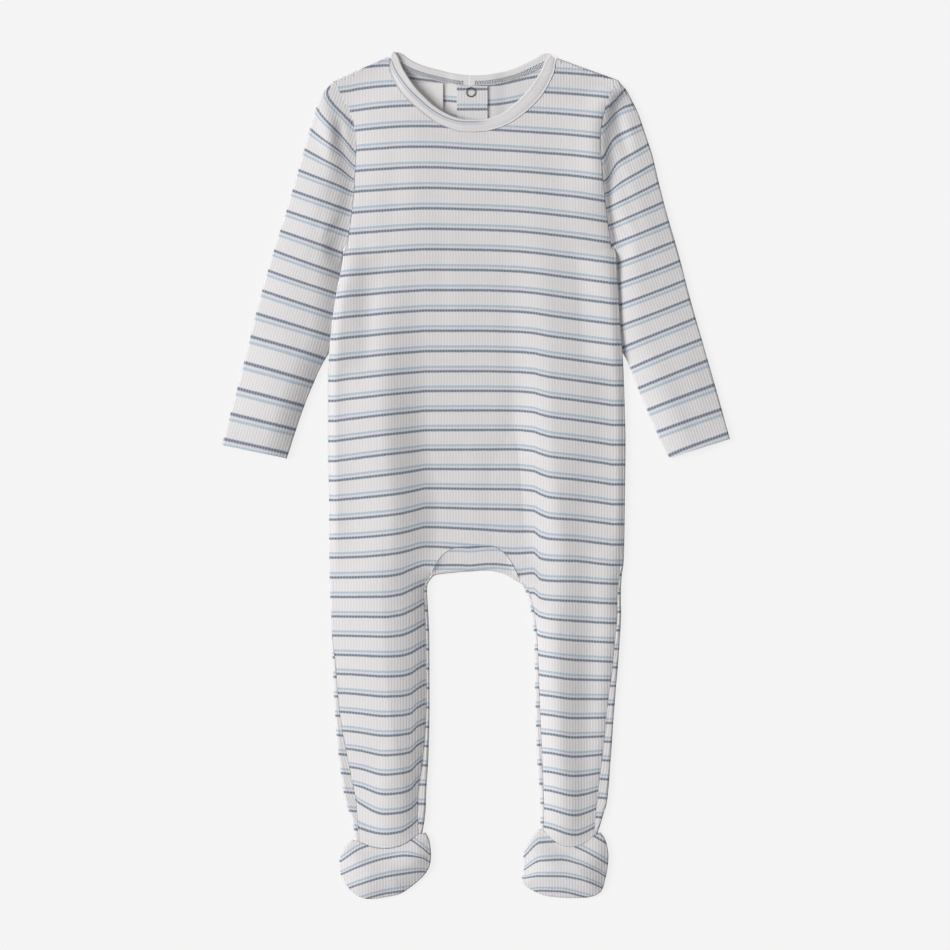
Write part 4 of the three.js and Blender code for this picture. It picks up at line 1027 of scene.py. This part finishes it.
# ---------------------------------------------------------------- swept pieces
def closed_mesh(name, rings, material, layers=None, looped=False):
    """A closed tube through rings of points (ring, point, xyz), with caps unless it runs in a loop."""
    rings = np.asarray(rings, float)
    count, around = rings.shape[:2]
    faces = []
    for i in range(count if looped else count - 1):
        a, b = i * around, (i + 1) % count * around
        faces += [[a + j, a + (j + 1) % around, b + (j + 1) % around, b + j] for j in range(around)]
    if not looped:
        faces += [list(range(around))[::-1], list(range((count - 1) * around, count * around))]
    points = rings.reshape(-1, 3)
    spots = points - points.mean(axis=0)
    fans = np.array([(f[0], f[k], f[k + 1]) for f in faces for k in range(1, len(f) - 1)])
    a, b, c = (spots[fans[:, i]] for i in range(3))
    if np.sum(a * np.cross(b, c)) < 0:
        faces = [f[::-1] for f in faces]
    return build_mesh(name, points, faces, layers or {}, material)


def sew(name, path, z, radius=SEAM_SHADE_THREAD):
    """A thread along a plane path at heights z."""
    path = np.column_stack([path, z])
    along = unit(np.gradient(path, axis=0))
    side = unit(np.cross(along, (0, 0, 1.0)))
    up = np.cross(side, along)
    turn = (np.arange(THREAD_SIDES) * 2 * math.pi / THREAD_SIDES)[:, None]
    rings = path[:, None] + radius * (np.cos(turn) * side[:, None] + np.sin(turn) * up[:, None])
    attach(closed_mesh(name, rings, thread), "root")


# ---------------------------------------------------------------- neckband
def band_half(side):
    """Rows from the middle of the front, over the shoulder, to the middle of the back: the sewn edge,
    the free edge, and the outward normal."""
    sign = side.sign
    t = np.linspace(9, 0, 90)
    seam = side.inner(t)
    sewn = beside(seam[::-1], sign * (SEAM_CURVED + 0.05))[::-1]
    fx, fy = track(BAND_FRONT[side.name])
    free = np.column_stack([fx(t), fy(t)])
    out = -sign * right_of(unit(free[-1] - (side.xi(0), side.yi(0))))
    free = free - np.clip(1 - t, 0, 1)[:, None] * (BAND_Z + BAND_FOLD) * out
    z = front_height(seam)
    z[-1] = FRONT_Z
    rows = [np.column_stack([sewn, z, free, z, np.full((len(t), 3), (0, 0, 1.0))])]
    last = rows[0][-1]
    for angle in np.radians(np.arange(12, 180, 12)):
        sine, cosine = math.sin(angle), math.cos(angle)
        step = np.array([*out * BAND_FOLD * sine, -BAND_FOLD * (1 - cosine)])
        rows.append(np.array([*last[:3] + step, *last[3:6] + step, *out * sine, cosine])[None])
    end = BAND_MEETS["x"] + sign * 0.2
    back = rounded([
        (*sewn[-1], *free[-1]),
        *(
            (xs + 0.1 * sign, ys + SEAM_CURVED, xf, yf) for _, xs, ys, xf, yf in BACK_NECK[side.name]
            if sign * (xs - BAND_MEETS["x"]) > 2
        ),
        (end, BAND_MEETS["sewn"] + SEAM_CURVED, end, BAND_MEETS["free"]),
    ], 120)
    sewn_z, free_z = (BAND_Z + placket_raise(*back[:, i:i + 2].T) for i in (0, 2))
    down = np.full((len(back), 3), (0, 0, -1.0))
    rows.append(np.column_stack([back[:, :2], sewn_z, back[:, 2:], free_z, down]))
    return np.vstack(rows)


def band_rows(width, table):
    """How far down from the free edge the rows of a table lie: its three groups for this width."""
    from_sewn, shares, from_free = table
    return [width - inset for inset in from_sewn], [width * share for share in shares], from_free


def neckband():
    """The band, its rows across and its length."""
    left, right = (band_half(side) for side in SIDES.values())
    rows = np.vstack([left[::-1], right[1:]])
    run = run_of((rows[:, :3] + rows[:, 3:6]) / 2)
    at = np.arange(0, run[-1], BAND_RIB / 4)
    from_middle = at - run[len(left) - 1]
    rows = look_up(at, run, rows)
    crests = at[np.flatnonzero(np.diff(np.sign(rows[:, 8])))]
    turn = np.radians(BAND_TURN)
    half = BAND_CLOTH / 2 - BAND_SIDE
    rings, depths = [], []
    for row, s in zip(rows, at):
        sewn, free, normal = row[:3], row[3:6], unit(row[6:])
        across = unit(free - sewn)
        # the free edge is rounded where it turns over the shoulder
        along = max(0.0, min(abs(s - crest) for crest in crests) - math.pi * BAND_FOLD / 2)
        free = free - across * CREST["pull"] * max(0.0, 1 - along / CREST["reach"]) ** 2
        width = np.linalg.norm(free - sewn)
        relief = BAND_RELIEF * math.cos(2 * math.pi * s / BAND_RIB)
        outer = np.concatenate(band_rows(width, BAND_OUTSIDE))
        inner = np.concatenate(band_rows(width, BAND_INSIDE)[::-1])
        dips = sum(
            groove["depth"] * hump(outer - middle, groove["reach"])
            for groove, middle in ((BAND_SEAM, width - BAND_SEAM["inset"]), (BAND_HEM, BAND_HEM["inset"]))
        )
        d = np.concatenate([outer, half - half * np.cos(turn), inner])
        h = np.concatenate([
            half - dips + relief * np.minimum(1, (width - outer) / 0.6), half * np.sin(turn),
            np.full(len(inner), -half - 0.5 * relief),
        ])
        rings.append(free - d[:, None] * across + h[:, None] * normal)
        depths.append(np.where(h > 0, d, d + INSIDE))
    line = np.interp(from_middle, *np.array(BAND_LINE, float).T)
    shows = sum(fade(start, from_middle) * fade(end, from_middle) for start, end in LINE_SHOWS)
    count = len(depths[0])
    layers = {
        "band_d": (np.array(depths) - line[:, None]).ravel(),
        "band_s": np.repeat(at, count), "band_shows": np.repeat(shows, count),
    }
    return closed_mesh("neck_binding", rings, binding, layers), rows, at[-1]


def neck_stitches(rows):
    """The cover stitch that holds down the back of the neck's seam: a looped thread on each back half."""
    for name, side in SIDES.items():
        back = rows[(rows[:, 8] < -0.9) & (rows[:, 0] * side.sign > STITCH_CLEAR[name])]
        back = back[np.argsort(back[:, 0] * side.sign)]
        run = run_of(back[:, :2])
        at = np.arange(0, run[-1] - STITCH["end"], STITCH["pitch"] / STITCH["points"])
        spot, free = (look_up(at, run, back[:, i:i + 2]) for i in (0, 3))
        phase = 2 * math.pi * at / STITCH["pitch"]
        path = spot + unit(spot - free) * (STITCH["inset"] + STITCH["width"] / 2 * np.cos(phase))[:, None]
        path += unit(np.gradient(spot, axis=0)) * (STITCH["loop"] * np.sin(2 * phase))[:, None]
        z = BAND_CLOTH + placket_raise(*path.T) + STITCH["radius"] / 2
        sew(f"neck_stitches_{name}", path, z, STITCH["radius"])


# ---------------------------------------------------------------- small pieces
def place_placket(p):
    return np.column_stack([p, np.full(len(p), BACK_Z + PLACKET["raised"] + CLOTH + SEAM)])


def knit_placket(p):
    return p[:, 0], -STRIPE_PITCH * stripe_number(p[:, 0] * 0, p[:, 1], LEVEL, DROOP_X, DROOP)


def place_label(p):
    across = (p[:, 0] - LABEL["left"]) / (LABEL["right"] - LABEL["left"])
    down = (LABEL["top"] - p[:, 1]) / (LABEL["top"] - LABEL["bottom"])
    bulge = LABEL["bulge"] * np.sin(math.pi * across) * down ** 2
    return np.column_stack([p, LABEL["z"] + bulge + LABEL["corner"] * fade("label_corner", across) * down])


def ring_mesh(name, y, z):
    """A press stud's open metal ring with a round section."""
    turn, section = (np.arange(count) * 2 * math.pi / count for count in SNAP_GRID)
    radius = SNAP["radius"] + SNAP["wire"] * np.cos(section)
    heights = z + SNAP["half_height"] * (1 + np.sin(section))
    rings = [
        np.column_stack([SNAP["x"] + radius * math.cos(a), y + radius * math.sin(a), heights]) for a in turn
    ]
    return closed_mesh(name, rings, metal, looped=True)


# ---------------------------------------------------------------- materials
class Term:
    """A value that a material's nodes work out, for use in sums and products."""

    def __init__(self, paint, socket):
        self.paint, self.socket = paint, socket

    def __add__(self, other):
        return self.paint.math("ADD", self, other)

    def __sub__(self, other):
        return self.paint.math("SUBTRACT", self, other)

    def __rsub__(self, other):
        return self.paint.math("SUBTRACT", other, self)

    def __mul__(self, other):
        return self.paint.math("MULTIPLY", self, other)

    def smooth(self, low, high):
        node = self.paint.node("ShaderNodeMapRange", interpolation_type="SMOOTHSTEP")
        self.paint.feed(node, {"Value": self, "From Min": low, "From Max": high})
        return Term(self.paint, node.outputs[0])

    def band(self, middle, half, soft):
        """1 within half of middle, fading over soft."""
        return 1.0 - self.paint.math("ABSOLUTE", self - middle).smooth(half - soft, half + soft)


class Paint:
    """A material's nodes, added one expression at a time."""

    def __init__(self, name, base, roughness):
        self.material = bpy.data.materials.new(name)
        self.material.use_nodes = True
        self.tree = self.material.node_tree
        self.shader = self.tree.nodes["Principled BSDF"]
        self.feed(self.shader, {"Base Color": base, "Roughness": roughness})

    def node(self, kind, **settings):
        node = self.tree.nodes.new(kind)
        for key, value in settings.items():
            setattr(node, key, value)
        return node

    def feed(self, node, values):
        """Gives a node's inputs numbers, colours or terms."""
        for name, value in values.items():
            socket = node.inputs[name]
            if isinstance(value, Term):
                self.tree.links.new(value.socket, socket)
            else:
                socket.default_value = (*value, 1) if isinstance(value, tuple) else value

    def math(self, operation, *values):
        node = self.node("ShaderNodeMath", operation=operation)
        self.feed(node, dict(enumerate(values)))
        return Term(self, node.outputs[0])

    def attribute(self, name):
        return Term(self, self.node("ShaderNodeAttribute", attribute_name=name).outputs["Fac"])

    def blend(self, factor, a, b):
        node = self.node("ShaderNodeMix", data_type="RGBA")
        self.feed(node, {0: factor, 6: a, 7: b})
        return Term(self, node.outputs[2])

    def noise(self, scale, detail=2.0):
        where = Term(self, self.node("ShaderNodeTexCoord").outputs["Object"])
        node = self.node("ShaderNodeTexNoise")
        self.feed(node, {"Vector": where, "Scale": scale, "Detail": detail})
        return Term(self, node.outputs["Fac"])

    def bump(self, height, distance):
        node = self.node("ShaderNodeBump")
        self.feed(node, {"Strength": 1.0, "Distance": distance, "Height": height})
        self.feed(self.shader, {"Normal": Term(self, node.outputs[0])})


def linear(red, green, blue):
    return tuple(((c / 255 + 0.055) / 1.055) ** 2.4 for c in (red, green, blue))


def darker(colour, share):
    return tuple(c * share for c in colour)


OFF_WHITE = linear(226, 223, 224)
SLATE = linear(112, 122, 140)
PALE_BLUE = linear(174, 190, 204)
BETWEEN = linear(204, 209, 215)
PHASE = 3.0                      # how far the dark stripe lies off the middle of its repeat
# Stripes of the jersey and of the band: middle, half width, how softly they end
DARK_STRIPE, LIGHT_STRIPE, BETWEEN_STRIPES = (0.0, 0.95, 0.5), (3.4, 0.8, 0.5), (1.7, 1.3, 0.5)
DARK_LINE, LIGHT_LINE = (0.0, 0.45, 0.35), (1.6, 0.45, 0.4)
FUZZ = 1500, 3.0                 # scale and detail of the yarn's own roughness
RIB_TURN = 2 * math.pi / RIB_PITCH


def mottled(paint, scale, share):
    return paint.blend(paint.noise(scale, 3.0).smooth(0.3, 0.75), OFF_WHITE, darker(OFF_WHITE, share))


def rib_jersey():
    paint = Paint("rib_jersey", OFF_WHITE, 0.93)
    u, v = paint.attribute("knit_u"), paint.attribute("knit_v")
    wave = paint.math("COSINE", u * RIB_TURN)
    valley = wave.smooth(-0.1, -0.95)
    loop = paint.math("WRAP", v, STRIPE_PITCH / 2 + PHASE, -STRIPE_PITCH / 2 + PHASE)
    loop = loop + (paint.noise(260) - 0.5) * 0.35
    dark, light, between = (loop.band(*stripe) for stripe in (DARK_STRIPE, LIGHT_STRIPE, BETWEEN_STRIPES))
    dashes = 1.0 - valley * 0.3
    # painted shade: the rib valleys are darkened a little, towards 0.62 of the off-white, as shade falls in
    # them
    colour = paint.blend(valley * 0.12, mottled(paint, 38, 0.965), darker(OFF_WHITE, 0.62))
    colour = paint.blend(between * 0.5, colour, BETWEEN)
    colour = paint.blend(light * dashes, colour, PALE_BLUE)
    colour = paint.blend(dark * dashes, colour, SLATE)
    # courses of stitches: each a small V on a rib
    lean = paint.math("ABSOLUTE", paint.math("SINE", u * RIB_TURN)) * 0.35
    course = paint.math("SINE", (v + lean) * (2 * math.pi / COURSE_PITCH))
    stitch = course * 0.5 + paint.noise(*FUZZ) * 0.8
    paint.bump(stitch * 0.35 + wave * 0.2, 0.00008)
    paint.feed(paint.shader, {"Base Color": colour, "Sheen Weight": 0.12, "Sheen Roughness": 0.6})
    return paint.material


def rib_binding():
    paint = Paint("rib_binding", OFF_WHITE, 0.92)
    d, s, shows = (paint.attribute(name) for name in ("band_d", "band_s", "band_shows"))
    wave = paint.math("COSINE", s * (2 * math.pi / BAND_RIB))
    slate, pale = (d.band(*line) * shows for line in (DARK_LINE, LIGHT_LINE))
    colour = paint.blend(pale * 0.7, mottled(paint, 45, 0.96), PALE_BLUE)
    colour = paint.blend(slate * 0.75, colour, SLATE)
    paint.bump(paint.noise(*FUZZ) * 0.6 + wave * 0.3, 0.00004)
    paint.feed(paint.shader, {"Base Color": colour, "Sheen Weight": 0.1})
    return paint.material


def label_satin():
    paint = Paint("label_satin", linear(232, 230, 229), 0.45)
    paint.bump(paint.noise(900), 0.00003)
    paint.feed(paint.shader, {"Sheen Weight": 0.2})
    return paint.material


def snap_metal():
    paint = Paint("snap_metal", linear(120, 122, 126), 0.35)
    paint.feed(paint.shader, {"Metallic": 1.0})
    return paint.material


jersey, binding, satin, metal = rib_jersey(), rib_binding(), label_satin(), snap_metal()
# Slate thread: the real cover stitch at the back of the neck, and the dark threads in the front's seams,
# which are painted shade for the shadow in their creases
thread = Paint("thread_and_seam_shade", linear(120, 126, 142), 0.8).material


# ---------------------------------------------------------------- the garment
def declare(obj, node):
    """Puts a piece on the root body, and hides the CAD part that it stands in for."""
    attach(obj, "root")
    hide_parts(node)


def cloth(node, outline, place, knit, outer=1, held="laid", slot="rib_jersey", material=jersey, **shape):
    obj = shell("cloth_" + node.removesuffix("_strip"), outline, place, knit, material, outer, **shape)
    declare(obj, node)


# Lays a dark thread along a seam of the front: painted shade, standing in for the shadow in the seam's crease
def sew_shade_thread_on_front(name, path, lift=SHADE_THREAD_LIFT):
    sew(name, path, front_height(path) + SHELL / 2 + lift)


def dress():
    """Builds every piece of the garment."""
    for name, side in SIDES.items():
        cloth(f"back_{name}", back_outline(side), place_back(side), knit_back, -1, "folded")
        sleeve = Sleeve(side)
        cloth(f"sleeve_{name}", sleeve.outline(), sleeve.place, sleeve.knit, -side.sign, "folded")
        for part, outer in (("sole", -1), ("upper", 1)):
            foot = Foot(side, outer > 0)
            cloth(f"foot_{part}_{name}", foot.outline(), foot.place, foot.knit, outer, row=FINE_ROW)
    cloth("front", front_outline(), place_front, knit_front)
    gusset = Gusset()
    cloth("gusset", gusset.outline(), gusset.place, gusset.knit, held="folded", row=FINE_ROW)
    # a dark thread round the gusset's arch: partly its stitching, partly painted shade for the seam's shadow
    sew_shade_thread_on_front("gusset_seam_thread_and_shade", evenly(beside(gusset.arch, -SEAM_CURVED / 2), 160)[3:-3])
    cloth("placket_strip", rectangle(PLACKET), place_placket, knit_placket)
    cloth("label", rectangle(LABEL), place_label, lambda p: p.T,
          slot="label_satin", material=satin, ribbed=False, thickness=LABEL_CLOTH)
    band, rows, length = neckband()
    declare(band, "neckband")
    for index in range(SNAP["count"]):
        for part, z in (("ring", PLACKET["raised"] + 2 * CLOTH + 2 * SEAM), ("cap", 0.0)):
            ring = ring_mesh(f"stud_{part}_{index + 1}", SNAP["top"] - index * SNAP["pitch"], z)
            declare(ring, f"snap_{part}_{index + 1}")
    neck_stitches(rows)
    # painted shade: dark threads in the lower armhole seams stand in for the deep shadow in their creases
    for name, (lift, below) in ARMHOLE_SHADE_THREAD.items():
        armhole = SIDES[name].armhole(60)
        armhole = armhole[armhole[:, 1] < armhole[0, 1] - below]
        sew_shade_thread_on_front(f"armhole_seam_shade_{name}", beside(armhole, SIDES[name].sign * -SEAM_CURVED / 2), lift)
    # painted shade: a dark thread along the right front neck seam stands in for the shadow beside the band
    neck = SIDES["right"].inner(np.linspace(9, 0.6, 120))
    sew_shade_thread_on_front("neck_seam_shade", beside(neck[::-1], SEAM_CURVED / 2)[::-1])


dress()


# ---------------------------------------------------------------- surroundings
def floor():
    paint = Paint("floor_grey", (FLOOR["albedo"],) * 3, 1.0)
    glow = {"Emission Color": linear(*(FLOOR["grey"],) * 3), "Emission Strength": FLOOR["glow"]}
    paint.feed(paint.shader, glow)
    mesh = bpy.data.meshes.new("floor")
    corners = [(x * FLOOR["reach"], y * FLOOR["reach"], 0) for x, y in ((-1, -1), (1, -1), (1, 1), (-1, 1))]
    mesh.from_pydata(corners, [], [(0, 1, 2, 3)])
    mesh.materials.append(paint.material)
    obj = add("floor", mesh)
    obj.visible_diffuse = False


def sun(name, energy, azimuth, elevation, angle):
    """A distant light that shines from an azimuth (0 is +x, 90 is +y) and an elevation."""
    lamp = bpy.data.lights.new(name, "SUN")
    lamp.energy, lamp.angle = energy, math.radians(angle)
    a, e = math.radians(azimuth), math.radians(elevation)
    way = Vector((math.cos(a) * math.cos(e), math.sin(a) * math.cos(e), math.sin(e)))
    add(name, lamp).rotation_euler = way.to_track_quat("Z", "Y").to_euler()


floor()
sun("key", **KEY)
sun("fill", **FILL)

world = bpy.data.worlds.new("studio")
world.use_nodes = True
world.node_tree.nodes["Background"].inputs[0].default_value = (1, 1, 1, 1)
world.node_tree.nodes["Background"].inputs[1].default_value = SKY
bpy.context.scene.world = world

camera = bpy.data.cameras.new("camera")
camera.sensor_width, camera.lens = CAMERA["sensor"], CAMERA["sensor"] * CAMERA["height"] / CAMERA["across"]
camera.clip_start, camera.clip_end = 0.1, 50
viewer = add("camera", camera)
viewer.location = CAMERA["x"], CAMERA["y"], CAMERA["height"]
bpy.context.scene.camera = viewer
bpy.context.scene.view_settings.view_transform = "Standard"
